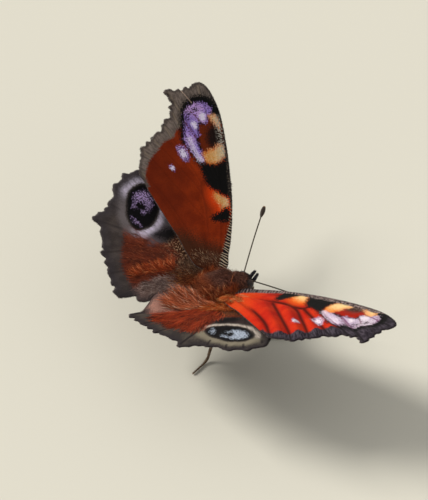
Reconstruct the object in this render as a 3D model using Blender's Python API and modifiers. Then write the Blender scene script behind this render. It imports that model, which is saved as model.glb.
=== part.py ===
"""Peacock butterfly standing with its wings open, a life-size still model.

Metres, +Z up, the head along +X and the butterfly's left along +Y. Lengths below are in millimetres
in the body's own frame, whose origin lies midway between the forewing hinges, and place() sets them
over the floor. The left and the right wings share one outline and one set of veins.
"""
import math
import random

import bmesh
import bpy
from mathutils import Matrix, Vector, geometry
from mathutils.bvhtree import BVHTree

MM = 0.001
GAP = 0.3

# where the body's frame stands over the floor, so that the model's box is centred on the origin
FLOOR_Z = -7.5
CENTRE_X = -4.089
CENTRE_Y = -0.835

# forewing, its outline and veins as (along the front edge, toward the rear edge) from the hinge
FOREWING_HINGE = (0.0, 1.8, 0.0)
FOREWING_SPREAD = 73.1
FOREWING_LIFT = 27.0
FOREWING_TWIST = -7.5
FOREWING_TWIST_PER_20 = 3.45
FOREWING_CAMBER = {1: -0.73, -1: 1.16}
FOREWING_OUTLINE = [
    (0.4, 1.2), (2.8, 0.2), (5.1, -0.6), (9.8, -1.7), (14.5, -2.25), (19.2, -2.5), (24.3, -2.3), (27.6, -1.3),
    (28.8, -0.3), (28.9, 0.6), (28.4, 1.6), (28.3, 2.6), (27.8, 4.0), (28.1, 5.2), (27.5, 5.5), (26.1, 4.7),
    (25.5, 5.0), (24.2, 5.0), (23.3, 6.3), (22.4, 6.6), (21.3, 8.2), (20.5, 8.6), (19.7, 10.2), (18.4, 10.65),
    (17.3, 10.8), (15.9, 11.2), (14.0, 10.65), (8.5, 8.45), (3.2, 6.4), (0.9, 5.0)]
FOREWING_VEINS = [
    [(0.8, 1.7), (8.0, -0.5), (13.6, -2.0)],
    [(0.8, 2.2), (8.0, 0.4), (14.0, -0.4), (20.0, -0.8), (28.4, 0.4)],
    [(14.0, -0.4), (20.0, 1.5), (27.6, 5.0)],
    [(14.2, 1.0), (19.0, 2.7), (24.6, 4.9)],
    [(13.8, 2.3), (18.0, 4.2), (22.6, 6.4)],
    [(0.8, 2.8), (6.0, 2.7), (11.8, 2.5), (16.0, 5.0), (20.7, 8.4)],
    [(8.2, 2.6), (13.0, 6.2), (18.2, 10.5)],
    [(0.9, 3.6), (7.0, 5.9), (12.0, 8.3), (15.6, 10.9)],
    [(11.8, 2.5), (13.8, 2.3), (14.2, 1.0), (14.0, -0.4)]]

# hindwing, its outline and veins as (forward, outward) from its own hinge
HINDWING_HINGE = (-2.8, 1.8, -1.2)
HINDWING_SWEEP = {1: 3.2, -1: -3.8}
HINDWING_LIFT = {1: 23.5, -1: 29.0}
HINDWING_TWIST = {1: -12.0, -1: -14.8}
HINDWING_TWIST_PER_20 = {1: 0.0, -1: 8.5}
HINDWING_CAMBER = {1: 0.3, -1: 1.45}
HINDWING_OUTLINE = [
    (0.9, 1.0), (1.7, 3.0), (1.9, 6.0), (1.5, 9.5), (0.6, 13.2), (-1.0, 17.1), (-3.0, 19.5), (-4.2, 20.0),
    (-5.3, 19.5), (-6.3, 19.6), (-7.2, 18.6), (-8.5, 18.2), (-9.0, 16.9), (-10.3, 16.1), (-11.0, 14.9),
    (-12.4, 14.7), (-13.6, 14.3), (-13.9, 13.4), (-13.5, 12.2), (-14.2, 11.0), (-14.8, 9.0), (-14.7, 7.6),
    (-15.2, 5.7), (-15.0, 3.8), (-15.5, 2.0), (-15.3, 1.0), (-14.4, 0.5), (-12.2, 0.5), (-11.6, 0.0),
    (-8.5, 0.3), (-5.0, 0.4), (-2.0, 0.4)]
HINDWING_VEINS = [
    [(0.5, 1.5), (1.0, 6.0), (0.1, 11.0), (-3.3, 19.0)],
    [(-0.1, 1.5), (-0.7, 6.0), (-2.2, 11.0), (-6.1, 19.0)],
    [(-1.2, 5.9), (-4.0, 11.0), (-8.2, 17.9)],
    [(-1.8, 6.0), (-5.5, 10.8), (-10.0, 15.8)],
    [(-0.8, 1.6), (-2.6, 3.4), (-3.3, 5.8), (-7.5, 9.8), (-13.2, 14.0)],
    [(-3.3, 5.8), (-8.5, 7.8), (-14.4, 8.9)],
    [(-2.6, 3.4), (-9.0, 5.0), (-14.8, 5.6)],
    [(-1.2, 1.6), (-8.0, 2.2), (-15.0, 1.9)],
    [(-0.7, 6.0), (-1.8, 6.0), (-3.3, 5.8)]]

MEMBRANE = 0.5
VEIN_THICKNESS = 0.9
VEIN_HALF_WIDTH = 0.5
VEIN_STEP = 2.3
MEMBRANE_STEP = 2.6
EDGE_STEP = 1.8
SAME_POINT = 0.05
CLEAR_OF_RIDGE = 0.4
CLEAR_OF_POINTS = 1.56

# body
THORAX_CENTRE = (-3.1, 0.0, -0.6)
THORAX_RADII = (3.4, 2.45, 2.5)
HEAD_CENTRE = (0.7, 0.0, -0.75)
HEAD_RADII = (1.15, 1.2, 1.2)
EYE_CENTRE = (0.95, 0.95, -0.7)
EYE_RADII = (0.78, 0.62, 0.82)
ABDOMEN_CENTRE = (-10.6, 0.0, -0.5)
ABDOMEN_RADII = (5.3, 1.85, 1.85)
ABDOMEN_RISE = 4.5
ABDOMEN_FULLNESS = 2.5
ABDOMEN_RINGS = 7
ABDOMEN_RING_DEPTH = 0.045

# antennae, palps and the coiled tongue
ANTENNA_ROOT = (0.75, 0.3, -0.05)
ANTENNA_REACH = {1: (9.25, 9.75, 1.2), -1: (9.0, 9.5, -2.5)}
ANTENNA_BOW = {1: 0.45, -1: 0.3}
ANTENNA_RADIUS = 0.25
CLUB_RADIUS = 0.5
CLUB_SHARE = 0.15
CLUB_END = 0.9
CLUB_BLUNTNESS = 0.7
ANTENNA_POINTS = 18
PALP_PATH = [(1.2, 0.36, -1.1), (1.9, 0.42, -0.95), (2.4, 0.4, -0.5), (2.77, 0.36, -0.07)]
PALP_RADII = [0.42, 0.42, 0.33, 0.16]
TONGUE_CENTRE = (1.75, 0.0, -2.2)
TONGUE_RADII = (0.2, 0.9)
TONGUE_TURNS = 1.3
TONGUE_RADIUS = 0.15
TONGUE_START = 200.0
TONGUE_STEPS = 26

# legs, each as its hip, knee, ankle and the two ends of its foot
FORELEG_PATH = [(-0.9, 0.75, -2.2), (0.5, 1.5, -3.1), (1.35, 1.05, -2.5), (1.7, 0.75, -1.9)]
FORELEG_RADII = [0.36, 0.36, 0.3, 0.18]
MIDLEG_PATH = [(-2.3, 0.9, -2.2), (-0.4, 4.0, -3.2), (1.2, 5.6, -7.0), (1.9, 6.2, -7.32), (3.9, 7.6, -7.32)]
HINDLEG_PATH = [(-4.4, 0.9, -2.2), (-6.0, 4.0, -3.1), (-8.3, 5.4, -7.0), (-9.1, 5.8, -7.32),
                (-11.6, 6.8, -7.32)]
WALKING_RADII = [0.45, 0.36, 0.28, 0.27, 0.24]
STEPS_PER_JOINT = 4

# long hair of the body, as flat locks that lie back along it
LOCK_WIDTH = 0.95
LOCK_THICKNESS = 0.32
LOCK_THINNING = 0.6
LOCK_STATIONS = ((0.0, 0.8, -0.5), (0.3, 1.0, 0.1), (0.7, 0.75, 0.24), (1.0, 0.14, 0.26))
LOCK_WIDTH_RANGE = (0.8, 1.2)
LOCK_LENGTH_RANGE = (0.8, 1.15)
LOCK_DRIFT = 0.35
THORAX_LOCKS = 230
THORAX_LOCK_LENGTH = 1.9
ABDOMEN_LOCKS = 110
ABDOMEN_LOCK_LENGTH = 1.7
LIE = (-1.0, 0.0, -0.1)
SEED = 7

COLOURS = {
    "rust": (0.42, 0.07, 0.02), "rust_dark": (0.20, 0.045, 0.02), "brown": (0.06, 0.03, 0.018),
    "black": (0.012, 0.011, 0.012), "tan": (0.28, 0.17, 0.08)}


def place(point, side=1):
    """A point of the body's frame in the model's frame, in metres, on the left or the right side."""
    x, y, z = point
    return Vector((x - CENTRE_X, side * y - CENTRE_Y, z - FLOOR_Z)) * MM


def material(colour, roughness):
    name = colour + "_finish"
    made = bpy.data.materials.get(name)
    if made:
        return made
    made = bpy.data.materials.new(name)
    made.use_nodes = True
    shader = made.node_tree.nodes["Principled BSDF"]
    shader.inputs["Base Color"].default_value = (*COLOURS[colour], 1.0)
    shader.inputs["Roughness"].default_value = roughness
    shader.inputs["Metallic"].default_value = 0.0
    return made


def add_object(name, mesh, colour, roughness=0.7):
    piece = bpy.data.objects.new(name, mesh)
    bpy.data.collections["peacock_butterfly"].objects.link(piece)
    mesh.materials.clear()
    mesh.materials.append(material(colour, roughness))
    return piece


def from_bmesh(name, shape):
    mesh = bpy.data.meshes.new(name)
    shape.to_mesh(mesh)
    shape.free()
    return mesh


def smooth(piece):
    piece.data.shade_smooth()
    piece.data.set_sharp_from_angle(angle=math.radians(50))
    return piece


# curves through points

def catmull_rom(points, step):
    """Points along a smooth curve through the given ones, about a step apart."""
    ends = [Vector(p) for p in points]
    ends = [2 * ends[0] - ends[1]] + ends + [2 * ends[-1] - ends[-2]]
    line = [ends[1]]
    for before, start, end, after in zip(ends, ends[1:], ends[2:], ends[3:]):
        pieces = max(1, round((end - start).length / step))
        for i in range(1, pieces + 1):
            t = i / pieces
            line.append(0.5 * (2 * start + (end - before) * t
                               + (2 * before - 5 * start + 4 * end - after) * t ** 2
                               + (3 * start - before - 3 * end + after) * t ** 3))
    return line


def ease(values, count):
    """As many values as asked for, blended evenly along a short list."""
    spread = []
    for i in range(count):
        place_in_list = i / (count - 1) * (len(values) - 1)
        low = min(int(place_in_list), len(values) - 2)
        share = place_in_list - low
        spread.append(values[low] * (1 - share) + values[low + 1] * share)
    return spread


# wings

def forewing_flat(point):
    """An (along, toward the rear) pair as (forward, outward) from the hinge."""
    along, rearward = point
    spread = math.radians(FOREWING_SPREAD)
    return (along * math.cos(spread) - rearward * math.sin(spread),
            along * math.sin(spread) + rearward * math.cos(spread))


def wing_height(forward, outward, twist, twist_per_20, camber):
    """The height of a wing's middle surface over its flat plane."""
    reach = outward / 20
    return forward * math.tan(math.radians(twist + twist_per_20 * reach)) - camber * reach ** 2


def wing_plan(outline, veins):
    """Flat points of a wing with its edge, vein lines and triangles, as one constrained mesh."""
    edge = catmull_rom([(*p, 0.0) for p in outline + outline[:1]], EDGE_STEP)[:-1]
    points = [p.xy for p in edge]
    links = [(i, (i + 1) % len(points)) for i in range(len(points))]
    ridge = []
    sides = []
    for vein in veins:
        line = [p.xy for p in catmull_rom([(*p, 0.0) for p in vein], VEIN_STEP)]
        ridge += line
        marks = [shared_index(points, p) for p in line]
        links += list(zip(marks, marks[1:]))
        for i, here in enumerate(line):
            ahead = line[min(i + 1, len(line) - 1)] - line[max(i - 1, 0)]
            across = ahead.orthogonal().normalized() * VEIN_HALF_WIDTH
            sides += [here + across, here - across]
    kept = [p for p in sides if far_from(p, ridge, CLEAR_OF_RIDGE)]
    for p in grid_points(edge):
        if far_from(p, ridge + kept + points, CLEAR_OF_POINTS):
            kept.append(p)
    boundary = [p.xy for p in edge]
    points += [p for p in kept if far_from(p, boundary, VEIN_HALF_WIDTH) and inside(p, boundary)]
    made = geometry.delaunay_2d_cdt(points, links, [], 0, 1e-4)
    flat, faces = made[0], made[2]
    faces = [f for f in faces if inside(sum((flat[i] for i in f), Vector((0, 0))) / 3, boundary)]
    ridge_keys = {(round(p.x, 3), round(p.y, 3)) for p in ridge}
    on_ridge = [(round(p.x, 3), round(p.y, 3)) in ridge_keys for p in flat]
    return flat, faces, on_ridge


def shared_index(points, point):
    """The place of a point in a list, to which it is added unless one like it is there."""
    for index, other in enumerate(points):
        if (point - other).length < SAME_POINT:
            return index
    points.append(point)
    return len(points) - 1


def far_from(point, others, distance):
    return all((point - other).length > distance for other in others)


def inside(point, boundary):
    """Whether a flat point lies within a closed line."""
    crossings = 0
    for a, b in zip(boundary, boundary[1:] + boundary[:1]):
        if (a.y > point.y) != (b.y > point.y):
            if point.x < a.x + (point.y - a.y) / (b.y - a.y) * (b.x - a.x):
                crossings += 1
    return crossings % 2 == 1


def grid_points(edge):
    """A staggered grid of flat points over the box of a closed line."""
    low_x, high_x = min(p.x for p in edge), max(p.x for p in edge)
    low_y, high_y = min(p.y for p in edge), max(p.y for p in edge)
    points = []
    for row in range(int((high_y - low_y) / MEMBRANE_STEP) + 1):
        shift = MEMBRANE_STEP / 2 * (row % 2)
        for column in range(int((high_x - low_x) / MEMBRANE_STEP) + 1):
            points.append(Vector((low_x + shift + column * MEMBRANE_STEP, low_y + row * MEMBRANE_STEP)))
    return points


def wing(name, side, outline, veins, hinge, lift, sweep, height, colour):
    """A membrane with raised veins, mirrored for the right side and turned about its hinge."""
    flat, faces, on_ridge = wing_plan(outline, veins)
    mesh = bpy.data.meshes.new(name)
    points = [Vector((p.x, side * p.y, height(p.x, p.y))) * MM for p in flat]
    mesh.from_pydata(points, [], [f[::side] for f in faces])
    piece = add_object(name, mesh, colour)
    piece.location = place(hinge, side)
    piece.rotation_mode = "ZYX"
    piece.rotation_euler = (side * math.radians(lift), 0.0, -side * math.radians(sweep))
    group = piece.vertex_groups.new(name="thickness")
    for index, raised in enumerate(on_ridge):
        group.add([index], 1.0 if raised else MEMBRANE / VEIN_THICKNESS, "REPLACE")
    solid = piece.modifiers.new("membrane", "SOLIDIFY")
    solid.thickness = VEIN_THICKNESS * MM
    solid.offset = 0.0
    solid.vertex_group = group.name
    return bake(piece)


def forewing(side):
    camber = FOREWING_CAMBER[side]
    return wing(node("forewing", side), side, [forewing_flat(p) for p in FOREWING_OUTLINE],
                [[forewing_flat(p) for p in vein] for vein in FOREWING_VEINS],
                FOREWING_HINGE, FOREWING_LIFT, 0.0,
                lambda f, s: wing_height(f, s, FOREWING_TWIST, FOREWING_TWIST_PER_20, camber), "rust")


def hindwing(side):
    twist, twist_per_20, camber = HINDWING_TWIST[side], HINDWING_TWIST_PER_20[side], HINDWING_CAMBER[side]
    return wing(node("hindwing", side), side, HINDWING_OUTLINE, HINDWING_VEINS,
                HINDWING_HINGE, HINDWING_LIFT[side], HINDWING_SWEEP[side],
                lambda f, s: wing_height(f, s, twist, twist_per_20, camber), "rust_dark")


# solid forms

def bake(piece):
    """Applies an object's modifiers and turns its mesh into triangles."""
    evaluated = piece.evaluated_get(bpy.context.evaluated_depsgraph_get())
    mesh = bpy.data.meshes.new_from_object(evaluated)
    piece.modifiers.clear()
    piece.data = mesh
    shape = bmesh.new()
    shape.from_mesh(mesh)
    bmesh.ops.triangulate(shape, faces=shape.faces[:])
    shape.to_mesh(mesh)
    shape.free()
    return piece


def ball(name, centre, radii, colour, side=1, segments=24, rings=14, roughness=0.7, reshape=None):
    """A round form with its poles along X, reshaped point by point on the unit sphere where asked."""
    shape = bmesh.new()
    bmesh.ops.create_uvsphere(shape, u_segments=segments, v_segments=rings, radius=1.0)
    bmesh.ops.rotate(shape, verts=shape.verts, matrix=Matrix.Rotation(math.radians(90), 3, "Y"))
    for vert in shape.verts:
        unit = reshape(vert.co) if reshape else vert.co
        vert.co = Vector(unit[i] * radii[i] for i in range(3)) * MM
    bmesh.ops.triangulate(shape, faces=shape.faces[:])
    piece = add_object(name, from_bmesh(name, shape), colour, roughness)
    piece.location = place(centre, side)
    return smooth(piece)


def tube(name, points, radii, colour, side=1, roughness=0.7):
    """A round limb along a line, its ends capped, as a closed mesh in the model's frame."""
    curve = bpy.data.curves.new(name, "CURVE")
    curve.dimensions = "3D"
    curve.bevel_depth = MM
    curve.bevel_resolution = 2
    curve.use_fill_caps = True
    spline = curve.splines.new("POLY")
    spline.points.add(len(points) - 1)
    for knot, point, radius in zip(spline.points, points, radii):
        knot.co = (*place(point, side), 1.0)
        knot.radius = radius
    guide = bpy.data.objects.new(name + "_line", curve)
    bpy.data.collections["peacock_butterfly"].objects.link(guide)
    evaluated = guide.evaluated_get(bpy.context.evaluated_depsgraph_get())
    mesh = bpy.data.meshes.new_from_object(evaluated)
    bpy.data.objects.remove(guide)
    shape = bmesh.new()
    shape.from_mesh(mesh)
    bmesh.ops.remove_doubles(shape, verts=shape.verts, dist=1e-6)
    bmesh.ops.triangulate(shape, faces=shape.faces[:])
    bmesh.ops.recalc_face_normals(shape, faces=shape.faces)
    shape.to_mesh(mesh)
    shape.free()
    return smooth(add_object(name, mesh, colour, roughness))


def node(part, side):
    return part + ("_left" if side > 0 else "_right")


def thorax():
    return ball("thorax", THORAX_CENTRE, THORAX_RADII, "brown", rings=16)


def head():
    return ball("head", HEAD_CENTRE, HEAD_RADII, "brown", segments=20, rings=12)


def eye(side):
    return ball(node("eye", side), EYE_CENTRE, EYE_RADII, "black", side, 18, 12, 0.2)


def abdomen():
    """A tapered barrel of rings that rises a little toward its tip."""
    def barrel(unit):
        along = unit.x
        round_share = math.hypot(unit.y, unit.z)
        if round_share < 1e-6:
            return unit
        reach = max(0.0, 1 - abs(along) ** ABDOMEN_FULLNESS) ** 0.5
        ring = 1 - ABDOMEN_RING_DEPTH * abs(math.sin(along * ABDOMEN_RINGS * math.pi / 2)) ** 6
        scale = reach * ring / round_share
        return Vector((along, unit.y * scale, unit.z * scale))

    piece = ball("abdomen", ABDOMEN_CENTRE, ABDOMEN_RADII, "brown", segments=20, rings=22, reshape=barrel)
    piece.rotation_euler = (0.0, math.radians(ABDOMEN_RISE), 0.0)
    return piece


def antenna(side):
    """A thin stalk, bowed a little upward, that thickens into a club at its end."""
    root = Vector(ANTENNA_ROOT)
    reach = Vector(ANTENNA_REACH[side])
    points = []
    radii = []
    for i in range(ANTENNA_POINTS):
        t = i / (ANTENNA_POINTS - 1)
        bow = Vector((0.0, 0.0, ANTENNA_BOW[side] * math.sin(math.pi * t)))
        points.append(root + reach * t + bow)
        club = max(0.0, (t - 1 + CLUB_SHARE) / CLUB_SHARE)
        swell = math.sin(math.pi * min(1.0, club * CLUB_END)) ** CLUB_BLUNTNESS if club > 0 else 0.0
        radii.append(ANTENNA_RADIUS + (CLUB_RADIUS - ANTENNA_RADIUS) * swell)
    return tube(node("antenna", side), points, radii, "brown", side)


def palp(side):
    points = catmull_rom(PALP_PATH, 0.5)
    return tube(node("palp", side), points, ease(PALP_RADII, len(points)), "black", side)


def tongue():
    """The tongue, coiled flat under the face between the palps."""
    points = []
    for i in range(TONGUE_STEPS + 1):
        t = i / TONGUE_STEPS
        turn = math.radians(TONGUE_START) + 2 * math.pi * TONGUE_TURNS * (1 - t)
        radius = TONGUE_RADII[1] + (TONGUE_RADII[0] - TONGUE_RADII[1]) * t
        points.append((TONGUE_CENTRE[0] + radius * math.cos(turn), 0.0,
                       TONGUE_CENTRE[2] + radius * math.sin(turn)))
    return tube("tongue", points, [TONGUE_RADIUS] * len(points), "black")


def leg(part, path, radii, side):
    """A leg from hip to foot, its foot pressed flat where it meets the floor."""
    points = []
    widths = []
    for i, (start, end) in enumerate(zip(path, path[1:])):
        for j in range(STEPS_PER_JOINT):
            t = j / STEPS_PER_JOINT
            points.append(Vector(start).lerp(Vector(end), t))
            widths.append(radii[i] * (1 - t) + radii[i + 1] * t)
    points.append(Vector(path[-1]))
    widths.append(radii[-1])
    piece = tube(node(part, side), points, widths, "tan", side)
    for vert in piece.data.vertices:
        vert.co.z = max(vert.co.z, 0.0)
    return piece


# cuts

def grown(piece):
    """A cutter: a copy of a plain piece, larger by the gap all round."""
    cutter = bpy.data.objects.new(piece.name + "_grown", piece.data.copy())
    cutter.location = piece.location
    cutter.rotation_euler = piece.rotation_euler
    bpy.data.collections["cutters"].objects.link(cutter)
    cutter.hide_render = True
    cutter.display_type = "WIRE"
    normals = [vert.normal.copy() for vert in cutter.data.vertices]
    for vert, normal in zip(cutter.data.vertices, normals):
        vert.co += normal * GAP * MM
    return cutter


def clear_of(piece, cutters):
    """Cuts a piece back from the cutters and keeps its largest closed surface."""
    for cutter in cutters:
        cut = piece.modifiers.new("clear", "BOOLEAN")
        cut.operation = "DIFFERENCE"
        cut.object = cutter
    bpy.context.view_layer.update()
    bake(piece)
    keep_largest(piece)
    return piece


def keep_largest(piece):
    shape = bmesh.new()
    shape.from_mesh(piece.data)
    bmesh.ops.triangulate(shape, faces=shape.faces[:])
    groups = []
    left = set(shape.verts)
    while left:
        start = left.pop()
        group = {start}
        queue = [start]
        while queue:
            for edge in queue.pop().link_edges:
                for vert in edge.verts:
                    if vert in left:
                        left.remove(vert)
                        group.add(vert)
                        queue.append(vert)
        groups.append(group)
    groups.sort(key=len)
    for group in groups[:-1]:
        bmesh.ops.delete(shape, geom=list(group), context="VERTS")
    shape.to_mesh(piece.data)
    shape.free()
    return piece


# the coat

def lock(collection, root, along, outward, length, rng):
    """One flat, tapered lock that leaves the body at its root and bends back along it."""
    across = along.cross(outward).normalized()
    width = LOCK_WIDTH * rng.uniform(*LOCK_WIDTH_RANGE)
    drift = rng.uniform(-LOCK_DRIFT, LOCK_DRIFT)
    rings = []
    shape = bmesh.new()
    for t, width_share, lift in LOCK_STATIONS:
        middle = root + along * (length * t) + outward * lift + across * (drift * t)
        half = across * width / 2 * width_share
        thick = outward * LOCK_THICKNESS * (1 - LOCK_THINNING * t)
        rings.append([shape.verts.new(p * MM) for p in (middle - half, middle + half, middle + thick)])
    for low, high in zip(rings, rings[1:]):
        for i in range(3):
            shape.faces.new((low[i], low[(i + 1) % 3], high[(i + 1) % 3], high[i]))
    shape.faces.new(rings[0][::-1])
    shape.faces.new(rings[-1])
    bmesh.ops.triangulate(shape, faces=shape.faces[:])
    bmesh.ops.recalc_face_normals(shape, faces=shape.faces)
    collection.objects.link(bpy.data.objects.new("lock", from_bmesh("lock", shape)))


def spread_over(count, radii):
    """Evenly spread points about a round form, as unit directions stretched to its radii."""
    golden = math.pi * (3 - math.sqrt(5))
    points = []
    for i in range(count):
        height = 1 - 2 * (i + 0.5) / count
        ring = math.sqrt(1 - height * height)
        points.append(Vector((height * radii[0], ring * math.cos(i * golden) * radii[1],
                              ring * math.sin(i * golden) * radii[2])))
    return points


def coat(piece, count, radii, length, lie):
    """Fuses locks to a piece all round, leaving out each that would come near another node."""
    rng = random.Random(SEED)
    bpy.context.view_layer.update()
    others = [o for o in bpy.data.collections["peacock_butterfly"].objects if o != piece]
    trees = [tree_of(other) for other in others]
    body = tree_of(piece)
    bunch = bpy.data.collections.new("locks")
    for offset in spread_over(count, radii):
        root, outward, _, _ = body.find_nearest(piece.matrix_world @ (offset * MM))
        root = root / MM
        along = (lie - outward * lie.dot(outward)).normalized()
        reach = length * rng.uniform(*LOCK_LENGTH_RANGE)
        if all(clear_room(trees, root, along, outward, reach * t, lift) for t, _, lift in LOCK_STATIONS):
            lock(bunch, root, along, outward, reach, rng)
    union = piece.modifiers.new("coat", "BOOLEAN")
    union.operation = "UNION"
    union.operand_type = "COLLECTION"
    union.collection = bunch
    union.solver = "MANIFOLD"
    bpy.context.scene.collection.children.link(bunch)
    bpy.context.view_layer.update()
    bake(piece)
    for item in list(bunch.objects):
        bpy.data.objects.remove(item)
    bpy.data.collections.remove(bunch)
    return keep_largest(piece)


def clear_room(trees, root, along, outward, reach, lift):
    """Whether a lock may pass here: no other node lies within its half width and the gap."""
    point = (root + along * reach + outward * lift) * MM
    room = (GAP + LOCK_WIDTH * 0.5) * MM
    return all(tree.find_nearest(point)[3] > room for tree in trees)


def tree_of(piece):
    shape = bmesh.new()
    shape.from_mesh(piece.data)
    shape.transform(piece.matrix_world)
    tree = BVHTree.FromBMesh(shape)
    shape.free()
    return tree


def build():
    for old in list(bpy.data.objects):
        bpy.data.objects.remove(old)
    for name in ("peacock_butterfly", "cutters"):
        bpy.context.scene.collection.children.link(bpy.data.collections.new(name))

    sides = (1, -1)
    chest = thorax()
    skull = head()
    belly = abdomen()
    eyes = [eye(side) for side in sides]
    by_chest, by_skull, by_belly = grown(chest), grown(skull), grown(belly)
    by_eyes = [grown(piece) for piece in eyes]
    clear_of(chest, [by_skull])
    clear_of(skull, by_eyes)
    clear_of(belly, [by_chest])
    for side in sides:
        clear_of(forewing(side), [by_chest])
        clear_of(hindwing(side), [by_chest, by_belly])
        clear_of(antenna(side), [by_skull] + by_eyes)
        clear_of(palp(side), [by_skull] + by_eyes)
        clear_of(leg("foreleg", FORELEG_PATH, FORELEG_RADII, side), [by_chest, by_skull])
        clear_of(leg("midleg", MIDLEG_PATH, WALKING_RADII, side), [by_chest])
        clear_of(leg("hindleg", HINDLEG_PATH, WALKING_RADII, side), [by_chest, by_belly])
    clear_of(tongue(), [by_skull])
    coat(chest, THORAX_LOCKS, THORAX_RADII, THORAX_LOCK_LENGTH, Vector(LIE))
    coat(belly, ABDOMEN_LOCKS, ABDOMEN_RADII, ABDOMEN_LOCK_LENGTH, Vector(LIE))
    for cutter in list(bpy.data.collections["cutters"].objects):
        bpy.data.objects.remove(cutter)


build()
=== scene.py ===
"""A peacock butterfly standing with its wings open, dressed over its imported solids.

Metres, +Z up, the head along +X and the butterfly's left along +Y. Lengths below are in millimetres in
the body's own frame, whose origin lies midway between the forewing hinges. The left and the right wings
share one outline, one set of veins and one set of markings.
"""
import math

import bmesh
import bpy
import numpy as np
from mathutils import Matrix, Vector


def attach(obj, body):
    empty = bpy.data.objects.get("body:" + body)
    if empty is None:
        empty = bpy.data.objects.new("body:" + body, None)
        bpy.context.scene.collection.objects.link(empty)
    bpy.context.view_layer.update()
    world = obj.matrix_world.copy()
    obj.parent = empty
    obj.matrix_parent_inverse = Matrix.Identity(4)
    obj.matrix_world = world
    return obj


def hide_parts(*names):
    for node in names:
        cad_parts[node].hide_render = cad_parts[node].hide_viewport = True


MM = 0.001
SIDES = (1, -1)
BODY_ORIGIN = np.array([4.089, 0.835, 7.5])

# forewing, as (along the front edge, toward the rear edge) from the hinge
FOREWING_HINGE = (0.0, 1.8, 0.0)
FOREWING_SPREAD = 73.1
FOREWING_LIFT = 27.0
FOREWING_TWIST = -7.5
FOREWING_TWIST_PER_20 = 3.45
FOREWING_CAMBER = {1: -0.73, -1: 1.16}
FOREWING_OUTLINE = [
    (0.4, 1.2), (2.8, 0.2), (5.1, -0.6), (9.8, -1.7), (14.5, -2.25), (19.2, -2.5), (24.3, -2.3),
    (27.6, -1.3), (28.8, -0.3), (28.9, 0.4), (28.7, 1.0), (28.4, 1.2), (28.4, 1.55), (28.1, 1.8),
    (28.25, 2.4), (27.9, 2.75), (27.8, 3.1), (28.0, 3.5), (27.85, 4.1), (28.1, 4.9), (28.0, 5.4),
    (27.6, 5.45), (27.2, 5.1), (26.7, 5.0), (26.2, 4.6), (25.7, 4.8), (25.4, 5.1), (24.8, 4.85),
    (24.3, 4.95), (23.9, 5.2), (23.6, 5.9), (23.3, 6.3), (22.6, 6.35), (22.2, 6.8), (21.8, 7.0),
    (21.5, 8.0), (21.1, 8.2), (20.8, 8.2), (20.4, 8.8), (20.2, 9.4), (19.8, 9.6), (19.6, 10.2),
    (19.0, 10.2), (18.6, 10.6), (18.1, 10.5), (17.6, 10.9), (17.2, 10.8), (16.6, 11.2), (16.1, 11.1),
    (15.5, 11.2), (14.8, 10.9), (14.0, 10.65), (12.9, 10.3), (11.6, 9.75), (8.5, 8.45), (5.6, 7.2),
    (3.2, 6.4), (0.9, 5.0)]
FOREWING_VEINS = [
    [(0.8, 1.7), (8.0, -0.5), (13.6, -2.0)],
    [(0.8, 2.2), (8.0, 0.4), (14.0, -0.4), (20.0, -0.8), (28.4, 0.4)],
    [(14.0, -0.4), (20.0, 1.5), (27.6, 5.0)],
    [(14.2, 1.0), (19.0, 2.7), (24.6, 4.9)],
    [(13.8, 2.3), (18.0, 4.2), (22.6, 6.4)],
    [(0.8, 2.8), (6.0, 2.7), (11.8, 2.5), (16.0, 5.0), (20.7, 8.4)],
    [(8.2, 2.8), (12.4, 5.6), (16.9, 8.6), (19.1, 10.3)],
    [(0.9, 3.6), (7.0, 5.9), (12.0, 8.3), (15.6, 10.9)],
    [(11.8, 2.5), (13.8, 2.3), (14.2, 1.0), (14.0, -0.4)]]

# hindwing, as (forward, outward) from its own hinge
HINDWING_HINGE = (-2.8, 1.8, -1.2)
HINDWING_SWEEP = {1: 3.2, -1: -3.8}
HINDWING_LIFT = {1: 23.5, -1: 29.0}
HINDWING_TWIST = {1: -12.0, -1: -14.8}
HINDWING_TWIST_PER_20 = {1: 0.0, -1: 8.5}
HINDWING_CAMBER = {1: 0.3, -1: 1.45}
HINDWING_OUTLINE = [
    (0.9, 1.0), (1.7, 3.0), (1.9, 6.0), (1.5, 9.5), (0.6, 13.2), (-1.0, 17.1), (-2.6, 19.4), (-3.3, 20.0),
    (-4.1, 20.0), (-4.8, 19.7), (-5.6, 20.0), (-6.3, 19.7), (-6.45, 19.1), (-7.3, 18.85), (-8.3, 18.5),
    (-8.3, 17.9), (-8.8, 17.3), (-8.95, 16.7), (-9.9, 16.4), (-10.05, 15.8), (-10.8, 15.5), (-11.3, 15.1),
    (-12.4, 14.9), (-13.4, 14.5), (-13.5, 14.0), (-13.0, 13.2), (-13.1, 12.5), (-13.6, 11.5), (-13.5, 10.9),
    (-14.0, 10.2), (-14.1, 9.4), (-14.6, 8.6), (-14.45, 7.9), (-14.9, 7.1), (-14.7, 6.4), (-15.2, 5.6),
    (-15.0, 4.9), (-15.4, 4.1), (-15.1, 3.4), (-15.6, 2.6), (-15.3, 1.9), (-14.4, 1.5), (-13.3, 1.4),
    (-12.6, 1.3), (-12.7, 0.6), (-12.2, 0.25), (-11.2, 0.1), (-8.5, 0.3), (-5.0, 0.4), (-2.0, 0.4)]
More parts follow.
